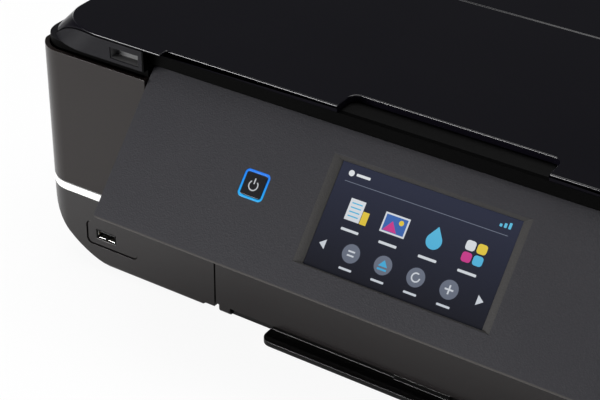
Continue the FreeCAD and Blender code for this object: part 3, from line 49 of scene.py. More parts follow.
# Places on the printer, in millimetres
FRONT = -154.84
REAR = 201.16
LID_EDGE_ZONE = 60.0
LID_ROUND_FOOT = 147.1
STRIP_FOOT = 134.8
STRIP_INNER_END = 166.7
STRIP_SKIN = 0.8
POCKET_OUTER_END = 188.0
PORT_EDGE = 1.6
CARTRIDGE_FIRST_SIDE = 113.0
CARTRIDGE_LAST_SIDE = 207.0
CARTRIDGE_LABEL_FOOT = 108.6
USB_X, USB_Z = -197.4, 24.5
NETWORK_X = -214.0
COMPUTER_X = -192.0
REAR_SOCKET_Z = 68.0

# The control panel's own frame: x across, fall down the face from its top edge, rise out of the face
TILT = math.radians(41.52)
PIVOT_DEPTH = 10.0
PIVOT_DROP = 8.3
PIVOT = Vector((0, FRONT + PIVOT_DEPTH, 122.9))
OUT_OF_FACE = Vector((0, -math.cos(TILT), math.sin(TILT)))
DOWN_FACE = Vector((0, -math.sin(TILT), -math.cos(TILT)))
PANEL_SKIN = 0.25
# Fall where the painted highlight along the panel's lower edge begins
PANEL_HIGHLIGHT_LINE = 81.2
SCREEN_TOP, SCREEN_BOTTOM = 14.7, 67.0
MARKS_TOP, MARKS_BOTTOM = 20.0, 62.0
RING_TOP, RING_BOTTOM = 33.0, 47.5
BUTTON_X, BUTTON_FALL, BUTTON_RISE = -86.3, 40.2, 0.3


def on_panel(x, fall, rise=0.0):
    point = PIVOT + OUT_OF_FACE*(PIVOT_DEPTH + rise) + DOWN_FACE*(fall - PIVOT_DROP)
    return Vector((x, point.y, point.z))*MM


# Camera

CAMERA_PLACE = (0.31973, -0.7584, 0.54367)
CAMERA_AZIMUTH = math.radians(32.977)
CAMERA_ELEVATION = math.radians(32.086)
CAMERA_ROLL = math.radians(0.539)
CAMERA_SENSOR = 36.0
CAMERA_LENS = 104.5


def place_camera():
    right = Vector((math.cos(CAMERA_AZIMUTH), math.sin(CAMERA_AZIMUTH), 0))
    level = Vector((-math.sin(CAMERA_AZIMUTH), math.cos(CAMERA_AZIMUTH), 0))
    ahead = level*math.cos(CAMERA_ELEVATION) - Vector((0, 0, math.sin(CAMERA_ELEVATION)))
    up = right.cross(ahead)
    across = right*math.cos(CAMERA_ROLL) + up*math.sin(CAMERA_ROLL)
    upward = up*math.cos(CAMERA_ROLL) - right*math.sin(CAMERA_ROLL)
    turn = Matrix((across, upward, -ahead)).transposed().to_4x4()
    data = bpy.data.cameras.new("photo_camera")
    data.sensor_width = CAMERA_SENSOR
    data.lens = CAMERA_LENS
    data.clip_start = 0.01
    data.clip_end = 60.0
    camera = bpy.data.objects.new("photo_camera", data)
    camera.matrix_world = Matrix.Translation(CAMERA_PLACE) @ turn
    scene.collection.objects.link(camera)
    scene.camera = camera


# Shader nodes

MIX_FIRST, MIX_SECOND, MIX_RESULT = 6, 7, 2


def node(tree, kind, **settings):
    made = tree.nodes.new(kind)
    for key, value in settings.items():
        if key in made.inputs:
            made.inputs[key].default_value = value
        else:
            setattr(made, key, value)
    return made


def feed(tree, socket, value):
    """Sets a socket to a number or a colour, or links it to another node's output."""
    if isinstance(value, (int, float)):
        socket.default_value = value
    elif isinstance(value, tuple):
        socket.default_value = (*value, 1)
    else:
        tree.links.new(value, socket)


def math_node(tree, operation, first, second):
    made = node(tree, "ShaderNodeMath", operation=operation)
    feed(tree, made.inputs[0], first)
    feed(tree, made.inputs[1], second)
    return made.outputs[0]


def over(tree, length, limit):
    """1 where a length is over the limit in millimetres, elsewhere 0."""
    return math_node(tree, "GREATER_THAN", length, limit*MM)


def under(tree, length, limit):
    """1 where a length is under the limit in millimetres, elsewhere 0."""
    return math_node(tree, "LESS_THAN", length, limit*MM)


def both(tree, first, second):
    """1 where both masks are 1."""
    return math_node(tree, "MULTIPLY", first, second)


def mapped(tree, value, low, high, start=0.0, end=1.0):
    """Goes from low to high while the value goes from start to end."""
    spread = node(tree, "ShaderNodeMapRange", **{
        "From Min": start, "From Max": end, "To Min": low, "To Max": high,
    })
    tree.links.new(value, spread.inputs["Value"])
    return spread.outputs["Result"]


def colour_mix(tree, share, first, second):
    """A colour that goes from the first to the second with the share; either may be a socket."""
    mix = node(tree, "ShaderNodeMix", data_type="RGBA")
    tree.links.new(share, mix.inputs["Factor"])
    feed(tree, mix.inputs[MIX_FIRST], first)
    feed(tree, mix.inputs[MIX_SECOND], second)
    return mix.outputs[MIX_RESULT]


def object_place(tree):
    return node(tree, "ShaderNodeTexCoord").outputs["Object"]


def place_parts(tree):
    """Distance from the middle, depth behind the front and height of a point, in metres."""
    parts = node(tree, "ShaderNodeSeparateXYZ")
    tree.links.new(object_place(tree), parts.inputs["Vector"])
    aside = math_node(tree, "ABSOLUTE", parts.outputs["X"], 0.0)
    behind = math_node(tree, "SUBTRACT", parts.outputs["Y"], FRONT*MM)
    return aside, behind, parts.outputs["Z"]


def reach_along(tree, direction):
    """How far a point lies along a direction, in metres."""
    along = node(tree, "ShaderNodeVectorMath", operation="DOT_PRODUCT")
    tree.links.new(object_place(tree), along.inputs[0])
    along.inputs[1].default_value = direction
    return along.outputs["Value"]


# Shader node groups shared by the finishes


def new_group(name, inputs, outputs):
    group = bpy.data.node_groups.new(name, "ShaderNodeTree")
    for label, kind, default in inputs:
        socket = group.interface.new_socket(label, in_out="INPUT", socket_type=kind)
        socket.default_value = default
    for label, kind in outputs:
        group.interface.new_socket(label, in_out="OUTPUT", socket_type=kind)
    return group, group.nodes.new("NodeGroupInput"), group.nodes.new("NodeGroupOutput")


def build_moulded_grain():
    """Spark-eroded mould texture: rounded pits of two sizes."""
    group, given, result = new_group(
        "moulded_grain",
        [("Scale", "NodeSocketFloat", 1500.0), ("Fine", "NodeSocketFloat", 0.5)],
        [("Height", "NodeSocketFloat"), ("Mask", "NodeSocketFloat")],
    )
    where = object_place(group)
    pits = node(group, "ShaderNodeTexVoronoi", feature="SMOOTH_F1", Smoothness=0.6)
    speckle = node(group, "ShaderNodeTexNoise", Detail=3.0, Roughness=0.6)
    group.links.new(where, pits.inputs["Vector"])
    group.links.new(where, speckle.inputs["Vector"])
    group.links.new(given.outputs["Scale"], pits.inputs["Scale"])
    group.links.new(math_node(group, "MULTIPLY", given.outputs["Scale"], 1.7), speckle.inputs["Scale"])
    fine = math_node(group, "MULTIPLY", speckle.outputs["Fac"], given.outputs["Fine"])
    group.links.new(math_node(group, "ADD", pits.outputs["Distance"], fine), result.inputs["Height"])
    group.links.new(speckle.outputs["Fac"], result.inputs["Mask"])
    return group


def build_handled_gloss():
    """Slight waviness of a polished moulding, with hazy patches and fine hairline marks."""
    group, given, result = new_group(
        "handled_gloss",
        [
            ("Wave", "NodeSocketFloat", 40.0),
            ("Roughness", "NodeSocketFloat", 0.12),
            ("Haze", "NodeSocketFloat", 0.06),
        ],
        [("Roughness", "NodeSocketFloat"), ("Height", "NodeSocketFloat")],
    )
    where = object_place(group)
    wave = node(group, "ShaderNodeTexNoise", Detail=1.0)
    haze = node(group, "ShaderNodeTexNoise", Scale=22.0, Detail=5.0, Roughness=0.62)
    stretch = node(group, "ShaderNodeMapping", Scale=(9.0, 240.0, 90.0), Rotation=(0.2, 0.1, 0.5))
    hairs = node(group, "ShaderNodeTexNoise", Scale=6.0, Detail=2.0)
    group.links.new(where, wave.inputs["Vector"])
    group.links.new(where, haze.inputs["Vector"])
    group.links.new(where, stretch.inputs["Vector"])
    group.links.new(stretch.outputs["Vector"], hairs.inputs["Vector"])
    group.links.new(given.outputs["Wave"], wave.inputs["Scale"])
    marks = math_node(group, "MULTIPLY", haze.outputs["Fac"], hairs.outputs["Fac"])
    spread = math_node(group, "MULTIPLY", marks, given.outputs["Haze"])
    group.links.new(math_node(group, "ADD", spread, given.outputs["Roughness"]), result.inputs["Roughness"])
    group.links.new(wave.outputs["Fac"], result.inputs["Height"])
    return group


def build_settled_dust():
    """A tint towards dust, broken up by specks and patches."""
    group, given, result = new_group(
        "settled_dust",
        [
            ("Color", "NodeSocketColor", (0.02, 0.02, 0.02, 1)),
            ("Dust", "NodeSocketColor", (0.3, 0.29, 0.28, 1)),
            ("Amount", "NodeSocketFloat", 0.03),
        ],
        [("Color", "NodeSocketColor")],
    )
    where = object_place(group)
    specks = node(group, "ShaderNodeTexNoise", Scale=900.0, Detail=2.0)
    patches = node(group, "ShaderNodeTexNoise", Scale=14.0, Detail=3.0)
    group.links.new(where, specks.inputs["Vector"])
    group.links.new(where, patches.inputs["Vector"])
    cover = math_node(group, "MULTIPLY", specks.outputs["Fac"], patches.outputs["Fac"])
    share = math_node(group, "MULTIPLY", cover, given.outputs["Amount"])
    tinted = colour_mix(group, share, given.outputs["Color"], given.outputs["Dust"])
    group.links.new(tinted, result.inputs["Color"])
    return group


GRAIN = build_moulded_grain()
GLOSS = build_handled_gloss()
DUST = build_settled_dust()


# What the finishes are made of

PIT_DEPTH = 0.0002
WAVE_DEPTH = 0.0006
FINE_WAVE_DEPTH = 0.0003
GRAIN_SPREAD = 0.08


def new_finish(name, constants):
    material = bpy.data.materials.new(name)
    material.use_nodes = True
    tree = material.node_tree
    shader = tree.nodes["Principled BSDF"]
    for key, value in constants.items():
        shader.inputs[key].default_value = value
    return material, tree, shader


def placed(tree, group, **values):
    made = tree.nodes.new("ShaderNodeGroup")
    made.node_tree = group
    for key, value in values.items():
        made.inputs[key].default_value = value
    return made


def bump(tree, shader, height, strength, distance):
    made = node(tree, "ShaderNodeBump", Strength=strength, Distance=distance)
    tree.links.new(height, made.inputs["Height"])
    tree.links.new(made.outputs["Normal"], shader.inputs["Normal"])


def dusted(tree, shader, colour, amount):
    """Gives the shader a colour under a little dust; the colour may be a socket."""
    dust = placed(tree, DUST, Amount=amount)
    feed(tree, dust.inputs["Color"], colour)
    tree.links.new(dust.outputs["Color"], shader.inputs["Base Color"])


def polished(tree, shader, roughness, haze, wave=40.0, strength=0.02, depth=WAVE_DEPTH):
    surface = placed(tree, GLOSS, Roughness=roughness, Haze=haze, Wave=wave)
    tree.links.new(surface.outputs["Roughness"], shader.inputs["Roughness"])
    bump(tree, shader, surface.outputs["Height"], strength, depth)


def grained(tree, shader, roughness, scale, strength):
    """Roughens the shader with moulded grain and returns the grain's speckle."""
    grain = placed(tree, GRAIN, Scale=scale)
    speckle = grain.outputs["Mask"]
    rough = mapped(tree, speckle, roughness - GRAIN_SPREAD, roughness + GRAIN_SPREAD)
    tree.links.new(rough, shader.inputs["Roughness"])
    bump(tree, shader, grain.outputs["Height"], strength, PIT_DEPTH)
    return speckle


# Finishes


def gloss_finish(name, colour, roughness, haze=0.06, dust=0.02, **constants):
    material, tree, shader = new_finish(name, constants)
    polished(tree, shader, roughness, haze)
    dusted(tree, shader, colour, dust)
    return material


def grain_finish(name, colour, roughness, scale=1500.0, depth=0.25, dust=0.05, **constants):
    material, tree, shader = new_finish(name, constants)
    grained(tree, shader, roughness, scale, depth)
    dusted(tree, shader, colour, dust)
    return material


def strip_finish():
    """The grey grained strip on both sides of the panel, with painted light on the backs of its pockets;
    behind the panel and below its foot its black plastic is painted near-black as shade.
    """
    material, tree, shader = new_finish("strip_matte", {})
    aside, behind, height = place_parts(tree)
    shown = both(tree, over(tree, aside, STRIP_INNER_END), over(tree, height, STRIP_FOOT))
    beside = both(tree, shown, under(tree, aside, POCKET_OUTER_END))
    pocket = both(tree, beside, over(tree, behind, STRIP_SKIN))
    # Painted shade: black plastic painted near-black where it runs behind the panel under the lid, and
    # below the strip's foot
    grey = colour_mix(tree, shown, (0.0006, 0.0006, 0.0006), (0.0072, 0.007, 0.0086))
    # Painted light: the sloping backs of the pockets are painted light grey
    with_painted_pocket_light = colour_mix(tree, pocket, grey, (0.13, 0.13, 0.131))
    dusted(tree, shader, with_painted_pocket_light, 0.004)
    tree.links.new(mapped(tree, shown, 0.02, 0.09), shader.inputs["Specular IOR Level"])
    grained(tree, shader, 0.5, 1700.0, 0.25)
    return material


def lid_finish():
    """Polished black, dull on the front face below the round of the top edge."""
    material, tree, shader = new_finish("lid_gloss", {})
    behind, height = place_parts(tree)[1:]
    face = both(tree, under(tree, behind, LID_EDGE_ZONE), under(tree, height, LID_ROUND_FOOT))
    tree.links.new(mapped(tree, face, 0.5, 0.03), shader.inputs["Specular IOR Level"])
    polished(tree, shader, 0.1, 0.05, wave=18.0)
    dusted(tree, shader, (0.0022, 0.0019, 0.0036), 0.008)
    return material


def panel_finish():
    """Fine charcoal grain; the bevels down to the screen are painted lighter as the light they catch, and a
    painted highlight runs along the lower edge.
    """
    material, tree, shader = new_finish("panel_matte", {"Specular IOR Level": 0.3})
    rise = reach_along(tree, OUT_OF_FACE)
    fall = reach_along(tree, DOWN_FACE)
    sunk = math_node(tree, "LESS_THAN", rise, on_panel(0, 0, -PANEL_SKIN).dot(OUT_OF_FACE))
    painted_edge_highlight = math_node(tree, "GREATER_THAN", fall, on_panel(0, PANEL_HIGHLIGHT_LINE).dot(DOWN_FACE))
    speckle = grained(tree, shader, 0.55, 1300.0, 0.35)
    face = colour_mix(tree, speckle, (0.0036, 0.0034, 0.0056), (0.0162, 0.0157, 0.0205))
    # Painted light: the bevels down to the screen are painted lighter than the face
    bevels_painted_lighter = colour_mix(tree, sunk, face, (0.019, 0.0178, 0.0175))
    # Painted highlight: a lighter line below that fall, along the panel's lower edge
    dusted(tree, shader, colour_mix(tree, painted_edge_highlight, bevels_painted_lighter, (0.034, 0.031, 0.029)), 0.05)
    return material


def port_finish():
    """Plated socket shell, dull and dark on its front edge."""
    material, tree, shader = new_finish("port_metal", {"Metallic": 1.0})
    behind = place_parts(tree)[1]
    edge = under(tree, behind, PORT_EDGE)
    dusted(tree, shader, colour_mix(tree, edge, (0.2, 0.2, 0.2), (0.012, 0.012, 0.012)), 0.02)
    polished(tree, shader, 0.3, 0.1, wave=60.0, depth=FINE_WAVE_DEPTH)
    return material


def metal_finish(name, colour, roughness, stretch):
    """Brushed metal; a large stretch along an axis packs the lines closely along it."""
    material, tree, shader = new_finish(name, {"Metallic": 1.0})
    lay = node(tree, "ShaderNodeMapping", Scale=stretch)
    brush = node(tree, "ShaderNodeTexNoise", Scale=30.0, Detail=4.0)
    tree.links.new(object_place(tree), lay.inputs["Vector"])
    tree.links.new(lay.outputs["Vector"], brush.inputs["Vector"])
    rough = mapped(tree, brush.outputs["Fac"], roughness*0.7, roughness*1.3)
    tree.links.new(rough, shader.inputs["Roughness"])
    bump(tree, shader, brush.outputs["Fac"], 0.05, PIT_DEPTH)
    dusted(tree, shader, colour, 0.04)
    return material


def glowing_finish(name, colour, far_colour, strength, top, bottom, roughness=0.25, sheen=0.5):
    """A lit surface on the panel whose colour runs from one shade to another between two falls."""
    material, tree, shader = new_finish(
        name, {"Emission Strength": strength, "Roughness": roughness, "Specular IOR Level": sheen}
    )
    start, end = (on_panel(0, fall).dot(DOWN_FACE) for fall in (top, bottom))
    share = mapped(tree, reach_along(tree, DOWN_FACE), 0.0, 1.0, start, end)
    tree.links.new(colour_mix(tree, share, colour, far_colour), shader.inputs["Emission Color"])
    dusted(tree, shader, (0.006, 0.006, 0.008), 0.01)
    return material


def ink_finish():
    """Cartridge bodies with a coloured label across each one's top."""
    material, tree, shader = new_finish("cartridge_labels", {"Roughness": 0.35})
    parts = node(tree, "ShaderNodeSeparateXYZ")
    tree.links.new(object_place(tree), parts.inputs["Vector"])
    ramp = node(tree, "ShaderNodeValToRGB")
    ramp.color_ramp.interpolation = "CONSTANT"
    inks = [
        (0.02, 0.02, 0.02), (0.0, 0.3, 0.6), (0.6, 0.02, 0.25),
        (0.75, 0.6, 0.02), (0.25, 0.55, 0.7), (0.75, 0.3, 0.45),
    ]
    while len(ramp.color_ramp.elements) < len(inks):
        ramp.color_ramp.elements.new(0.5)
    for number, ink in enumerate(inks):
        ramp.color_ramp.elements[number].position = number/len(inks)
        ramp.color_ramp.elements[number].color = (*ink, 1)
    place = mapped(tree, parts.outputs["X"], 0.0, 1.0, CARTRIDGE_FIRST_SIDE*MM, CARTRIDGE_LAST_SIDE*MM)
    tree.links.new(place, ramp.inputs["Fac"])
    label = over(tree, parts.outputs["Z"], CARTRIDGE_LABEL_FOOT)
    colour = colour_mix(tree, label, (0.03, 0.03, 0.032), ramp.outputs["Color"])
    tree.links.new(colour, shader.inputs["Base Color"])
    grain = placed(tree, GRAIN, Scale=1800.0)
    bump(tree, shader, grain.outputs["Height"], 0.1, PIT_DEPTH)
    return material


def board_finish():
    """Solder mask with copper tracks under it."""
    material, tree, shader = new_finish("solder_mask", {"Roughness": 0.4})
    lay = node(tree, "ShaderNodeMapping", Rotation=(math.pi/2, 0, math.pi/2))
    tracks = node(
        tree, "ShaderNodeTexBrick", Scale=60.0, Color1=(0.012, 0.09, 0.04, 1),
        Color2=(0.02, 0.14, 0.06, 1), Mortar=(0.05, 0.24, 0.1, 1),
    )
    tree.links.new(object_place(tree), lay.inputs["Vector"])
    tree.links.new(lay.outputs["Vector"], tracks.inputs["Vector"])
    tree.links.new(tracks.outputs["Color"], shader.inputs["Base Color"])
    bump(tree, shader, tracks.outputs["Fac"], 0.2, 0.0001)
    return material


def glass_finish():
    material, tree, shader = new_finish("platen_glass", {
        "Base Color": (0.93, 0.97, 0.95, 1), "Transmission Weight": 1.0, "IOR": 1.5,
    })
    polished(tree, shader, 0.01, 0.03, wave=15.0, strength=0.01, depth=FINE_WAVE_DEPTH)
    return material


FINISHES = {
    "case_gloss": gloss_finish(
        "case_gloss", (0.009, 0.0065, 0.0058), 0.2, haze=0.1, **{"Specular IOR Level": 0.36}
    ),
    "lower_gloss": gloss_finish("lower_gloss", (0.011, 0.0095, 0.0095), 0.2, haze=0.1),
    "lid_gloss": lid_finish(),
    "panel_matte": panel_finish(),
    "strip_matte": strip_finish(),
    "trim_white": gloss_finish("trim_white", (0.93, 0.93, 0.92), 0.25),
    "black_gloss": gloss_finish("black_gloss", (0.003, 0.003, 0.003), 0.15, dust=0.01),
    "black_matte": grain_finish("black_matte", (0.014, 0.014, 0.0145), 0.55),
    "inner_grey": grain_finish("inner_grey", (0.16, 0.16, 0.165), 0.5),
    "sheet_steel": metal_finish("sheet_steel", (0.6, 0.61, 0.62), 0.35, (1.0, 20.0, 20.0)),
    "bright_steel": metal_finish("bright_steel", (0.75, 0.76, 0.78), 0.15, (60.0, 2.0, 2.0)),
    "socket_metal": metal_finish("socket_metal", (0.72, 0.72, 0.7), 0.28, (8.0, 40.0, 8.0)),
    "rubber_black": grain_finish("rubber_black", (0.02, 0.02, 0.02), 0.75, scale=900.0),
    "roller_rubber": grain_finish("roller_rubber", (0.09, 0.09, 0.095), 0.7, scale=1100.0),
    "gear_nylon": grain_finish("gear_nylon", (0.78, 0.77, 0.72), 0.4, scale=2000.0, depth=0.1),
    "glass_clear": glass_finish(),
    "screen_dark": glowing_finish(
        "screen_dark", (0.035, 0.042, 0.08), (0.008, 0.009, 0.014), 0.55, SCREEN_TOP, SCREEN_BOTTOM,
        roughness=0.08, sheen=0.3,
    ),
    "ring_blue": glowing_finish(
        "ring_blue", (0.01, 0.22, 1.0), (0.02, 0.48, 1.0), 0.85, RING_TOP, RING_BOTTOM
    ),
    "button_black": gloss_finish("button_black", (0.008, 0.008, 0.009), 0.22),
    "mat_white": grain_finish("mat_white", (0.84, 0.84, 0.83), 0.6, scale=700.0, depth=0.15),
    "board_green": board_finish(),
    "pad_felt": grain_finish("pad_felt", (0.74, 0.73, 0.69), 0.9, scale=600.0, depth=0.8),
    "ink_mix": ink_finish(),
    "strip_film": gloss_finish("strip_film", (0.2, 0.2, 0.22), 0.3),
}
# Nodes whose finish isn't the usual one of their slot
OWN_FINISHES = {
    "scanner_frame": grain_finish(
        "frame_black", (0.002, 0.002, 0.002), 0.5, scale=1600.0, dust=0.006, **{"Specular IOR Level": 0.08}
    ),
    "usb_port": port_finish(),
    "usb_plate": FINISHES["lower_gloss"],
}
# Each mark's colour at the top of the screen and at its bottom
MARK_COLOURS = {
    "white": ((0.8, 0.83, 0.86), (0.62, 0.66, 0.72)),
    "cyan": ((0.12, 0.55, 0.8), (0.05, 0.4, 0.7)),
    "blue": ((0.05, 0.16, 0.5), (0.03, 0.1, 0.36)),
    "yellow": ((0.85, 0.66, 0.06), (0.75, 0.5, 0.03)),
    "magenta": ((0.7, 0.05, 0.3), (0.5, 0.03, 0.22)),
    "grey": ((0.2, 0.23, 0.3), (0.13, 0.15, 0.2)),
}
MARK_FINISHES = {
    name: glowing_finish(f"screen_{name}", near, far, 0.85, MARKS_TOP, MARKS_BOTTOM)
    for name, (near, far) in MARK_COLOURS.items()
}
SYMBOL_WHITE = glowing_finish(
    "symbol_white", (0.75, 0.78, 0.8), (0.6, 0.63, 0.66), 0.75, SCREEN_TOP, SCREEN_BOTTOM
)

# Pieces made from the CAD nodes, with the small edge rounds that mouldings have, in millimetres

EDGE_ROUNDS = {
    "lower_case": 0.6, "upper_case": 0.7, "trim_band_left": 0.5, "trim_band_right": 0.5,
    "drawer_front": 0.6, "paper_tray": 0.5, "scanner_base": 0.6, "lid_cover": 0.6,
    "panel_face": 0.6, "panel_back": 0.6, "usb_plate": 0.35, "usb_port": 0.1,
    "touch_screen": 0.15, "light_ring": 0.2, "power_button": 0.35, "rear_cover": 0.6,
    "base_pan": 0.6, "rubber_feet": 0.6, "base_screws": 0.35, "output_tray": 0.4,
    "tray_extension": 0.4, "edge_guide_left": 0.4, "edge_guide_right": 0.4, "power_inlet": 0.3,
    "network_socket": 0.3, "computer_socket": 0.2, "scanner_hinges": 0.3, "scanner_frame": 0.3,
    "scan_bar": 0.5, "lid_hinges": 0.2, "lid_mat": 0.3, "carriage": 0.4,
    "ink_cartridges": 0.5, "print_head": 0.4,
}
# Pieces whose edges are rounded by the whole width, also beside short edges
FULL_ROUNDS = {"lid_cover"}
MERGE_DISTANCE = 2e-6
FLAT_ANGLE = math.radians(0.6)
SHARP_ANGLE = math.radians(28)


def as_piece(name, mesh, body, finish):
    piece = bpy.data.objects.new(name, mesh)
    scene.collection.objects.link(piece)
    mesh.materials.clear()
    mesh.materials.append(finish)
    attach(piece, body)
    return piece


def finished_mesh(name, source, *modifiers):
    """The mesh that modifiers make of a source mesh, as plain data."""
    holder = bpy.data.objects.new(f"{name}_source", source)
    scene.collection.objects.link(holder)
    for kind, settings in modifiers:
        modifier = holder.modifiers.new(kind.lower(), kind)
        for key, value in settings.items():
            setattr(modifier, key, value)
    graph = bpy.context.evaluated_depsgraph_get()
    mesh = bpy.data.meshes.new_from_object(holder.evaluated_get(graph), depsgraph=graph)
    mesh.name = name
    bpy.data.objects.remove(holder)
    return mesh


def rounded_copy(node_name, width):
    """Stands in for a CAD node: the same solid with its edges rounded by width millimetres."""
    mesh = nodes[node_name].data.copy()
    work = bmesh.new()
    work.from_mesh(mesh)
    bmesh.ops.remove_doubles(work, verts=work.verts, dist=MERGE_DISTANCE)
    bmesh.ops.dissolve_limit(work, angle_limit=FLAT_ANGLE, verts=work.verts, edges=work.edges)
    for face in work.faces:
        face.smooth = True
    work.to_mesh(mesh)
    work.free()
    made = finished_mesh(
        f"{node_name}_moulding",
        mesh,
        ("BEVEL", {
            "width": width*MM, "segments": 2, "limit_method": "ANGLE", "angle_limit": SHARP_ANGLE,
            "use_clamp_overlap": node_name not in FULL_ROUNDS,
            "miter_outer": "MITER_ARC", "harden_normals": False,
        }),
        ("WEIGHTED_NORMAL", {"keep_sharp": False, "weight": 80}),
    )
    slot = slot_of[node_name]
    finish = OWN_FINISHES.get(node_name, FINISHES[slot])
    piece = as_piece(f"{node_name}_moulding", made, body_of[node_name], finish)
    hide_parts(node_name)


def dress_nodes():
    for node_name, width in EDGE_ROUNDS.items():
        rounded_copy(node_name, width)
    for node_name, obj in nodes.items():
        if node_name not in EDGE_ROUNDS:
            obj.data.materials.clear()
            obj.data.materials.append(FINISHES[slot_of[node_name]])


# Repeated contacts and springs, made by one geometry tree


def build_bar_row():
    tree = bpy.data.node_groups.new("bar_row", "GeometryNodeTree")
    tree.interface.new_socket("Geometry", in_out="OUTPUT", socket_type="NodeSocketGeometry")
    for label, kind in (
        ("Count", "NodeSocketInt"),
        ("Start", "NodeSocketVector"),
        ("Step", "NodeSocketVector"),
        ("Size", "NodeSocketVector"),
        ("Finish", "NodeSocketMaterial"),
    ):
        tree.interface.new_socket(label, in_out="INPUT", socket_type=kind)
    given = tree.nodes.new("NodeGroupInput")
    result = tree.nodes.new("NodeGroupOutput")
    line = tree.nodes.new("GeometryNodeMeshLine")
    line.mode = "OFFSET"
    bar = tree.nodes.new("GeometryNodeMeshCube")
    put = tree.nodes.new("GeometryNodeInstanceOnPoints")
    solid = tree.nodes.new("GeometryNodeRealizeInstances")
    paint = tree.nodes.new("GeometryNodeSetMaterial")
    tree.links.new(given.outputs["Count"], line.inputs["Count"])
    tree.links.new(given.outputs["Start"], line.inputs["Start Location"])
    tree.links.new(given.outputs["Step"], line.inputs["Offset"])
    tree.links.new(given.outputs["Size"], bar.inputs["Size"])
    tree.links.new(line.outputs["Mesh"], put.inputs["Points"])
    tree.links.new(bar.outputs["Mesh"], put.inputs["Instance"])
    tree.links.new(put.outputs["Instances"], solid.inputs["Geometry"])
    tree.links.new(solid.outputs["Geometry"], paint.inputs["Geometry"])
    tree.links.new(given.outputs["Finish"], paint.inputs["Material"])
    tree.links.new(paint.outputs["Geometry"], result.inputs["Geometry"])
    return tree


BAR_ROW = build_bar_row()


def bar_row(name, body, finish, count, start, step, size, edge):
    """A row of bars; places, sizes and the edge round are in millimetres."""
    holder = bpy.data.objects.new(f"{name}_row", bpy.data.meshes.new(f"{name}_row"))
    scene.collection.objects.link(holder)
    modifier = holder.modifiers.new("row", "NODES")
    modifier.node_group = BAR_ROW
    values = {
        "Count": count,
        "Start": [value*MM for value in start],
        "Step": [value*MM for value in step],
        "Size": [value*MM for value in size],
        "Finish": finish,
    }
    for item in BAR_ROW.interface.items_tree:
        if item.in_out == "INPUT":
            modifier[item.identifier] = values[item.name]
    graph = bpy.context.evaluated_depsgraph_get()
    plain = bpy.data.meshes.new_from_object(holder.evaluated_get(graph), depsgraph=graph)
    bpy.data.objects.remove(holder)
    mesh = finished_mesh(name, plain, ("BEVEL", {"width": edge*MM, "segments": 2}))
    as_piece(name, mesh, body, finish)


def fit_contacts():
    metal = FINISHES["socket_metal"]
    gold = metal_finish("gold_contacts", (0.83, 0.6, 0.25), 0.25, (10.0, 10.0, 10.0))
    bar_row(
        "usb_floor_springs", "housing", metal, 2,
        (USB_X - 2.9, FRONT + 3.6, USB_Z - 2.2), (6.1, 0, 0), (4.6, 4.4, 0.3), 0.08,
    )
    bar_row(
        "usb_side_spring", "housing", metal, 1,
        (USB_X - 5.85, FRONT + 3.6, USB_Z + 0.3), (1, 0, 0), (0.4, 4.4, 3.0), 0.08,
    )
    bar_row(
        "usb_contacts", "housing", gold, 4,
        (USB_X - 3.5, FRONT + 8.0, USB_Z + 0.55), (7/3, 0, 0), (1.1, 9.0, 0.12), 0.03,
    )
    bar_row(
        "network_contacts", "housing", gold, 8,
        (NETWORK_X - 3.57, REAR - 11.0, REAR_SOCKET_Z + 3.6), (1.02, 0, 0), (0.45, 12.0, 0.5), 0.1,
    )
    bar_row(
        "computer_contacts", "housing", gold, 2,
        (COMPUTER_X - 1.25, REAR - 6.0, REAR_SOCKET_Z + 1.6), (2.5, 0, 0), (1.1, 8.0, 0.2), 0.05,
    )


# Marks on the control panel: closed prisms that stand a hair above the glass or the button


def panel_prisms(name, outlines, base, height, finish, body="control_panel"):
    """Prisms on the panel from outlines of (x, fall) points; base is how far their feet rise."""
    work = bmesh.new()
    for outline in outlines:
        foot = [work.verts.new(on_panel(x, fall, base)) for x, fall in outline]
        top = [work.verts.new(on_panel(x, fall, base + height)) for x, fall in outline]
        work.faces.new(top)
        work.faces.new(list(reversed(foot)))
        for first in range(len(outline)):
            second = (first + 1) % len(outline)
            work.faces.new((foot[first], foot[second], top[second], top[first]))
    bmesh.ops.recalc_face_normals(work, faces=work.faces)
    mesh = bpy.data.meshes.new(name)
    work.to_mesh(mesh)
    work.free()
    as_piece(name, mesh, body, finish)


def arc(x, fall, radius, start, end, count):
    """Points on an arc, from a start angle to an end angle in degrees."""
    angles = [math.radians(start + (end - start)*step/count) for step in range(count + 1)]
    return [(x + radius*math.cos(angle), fall + radius*math.sin(angle)) for angle in angles]


def rectangle(x, fall, width, height):
    return [
        (x - width/2, fall - height/2), (x + width/2, fall - height/2),
        (x + width/2, fall + height/2), (x - width/2, fall + height/2),
    ]


def bar(x, fall, width, height):
    """A bar with rounded corners."""
    radius = min(width, height)*0.3
    points = []
    for corner, (side, end) in enumerate(((1, 1), (-1, 1), (-1, -1), (1, -1))):
        middle_x = x + side*(width/2 - radius)
        middle_fall = fall + end*(height/2 - radius)
        points += arc(middle_x, middle_fall, radius, 90*corner, 90*corner + 90, 4)
    return points


def disc(x, fall, radius):
    return arc(x, fall, radius, 0, 360, 28)[:-1]


def arc_band(x, fall, radius, width, start, end, count):
    outer = arc(x, fall, radius, start, end, count)
    inner = arc(x, fall, radius - width, start, end, count)
    return outer + inner[::-1]


def power_symbol():
    band = arc_band(BUTTON_X, BUTTON_FALL + 0.3, 2.75, 0.6, -50, 230, 36)
    stroke = rectangle(BUTTON_X, BUTTON_FALL - 1.9, 0.65, 2.9)
    panel_prisms(
        "power_symbol", [band, stroke], BUTTON_RISE, 0.04, SYMBOL_WHITE, "power_key"
    )


# Marks on the screen: outlines by colour

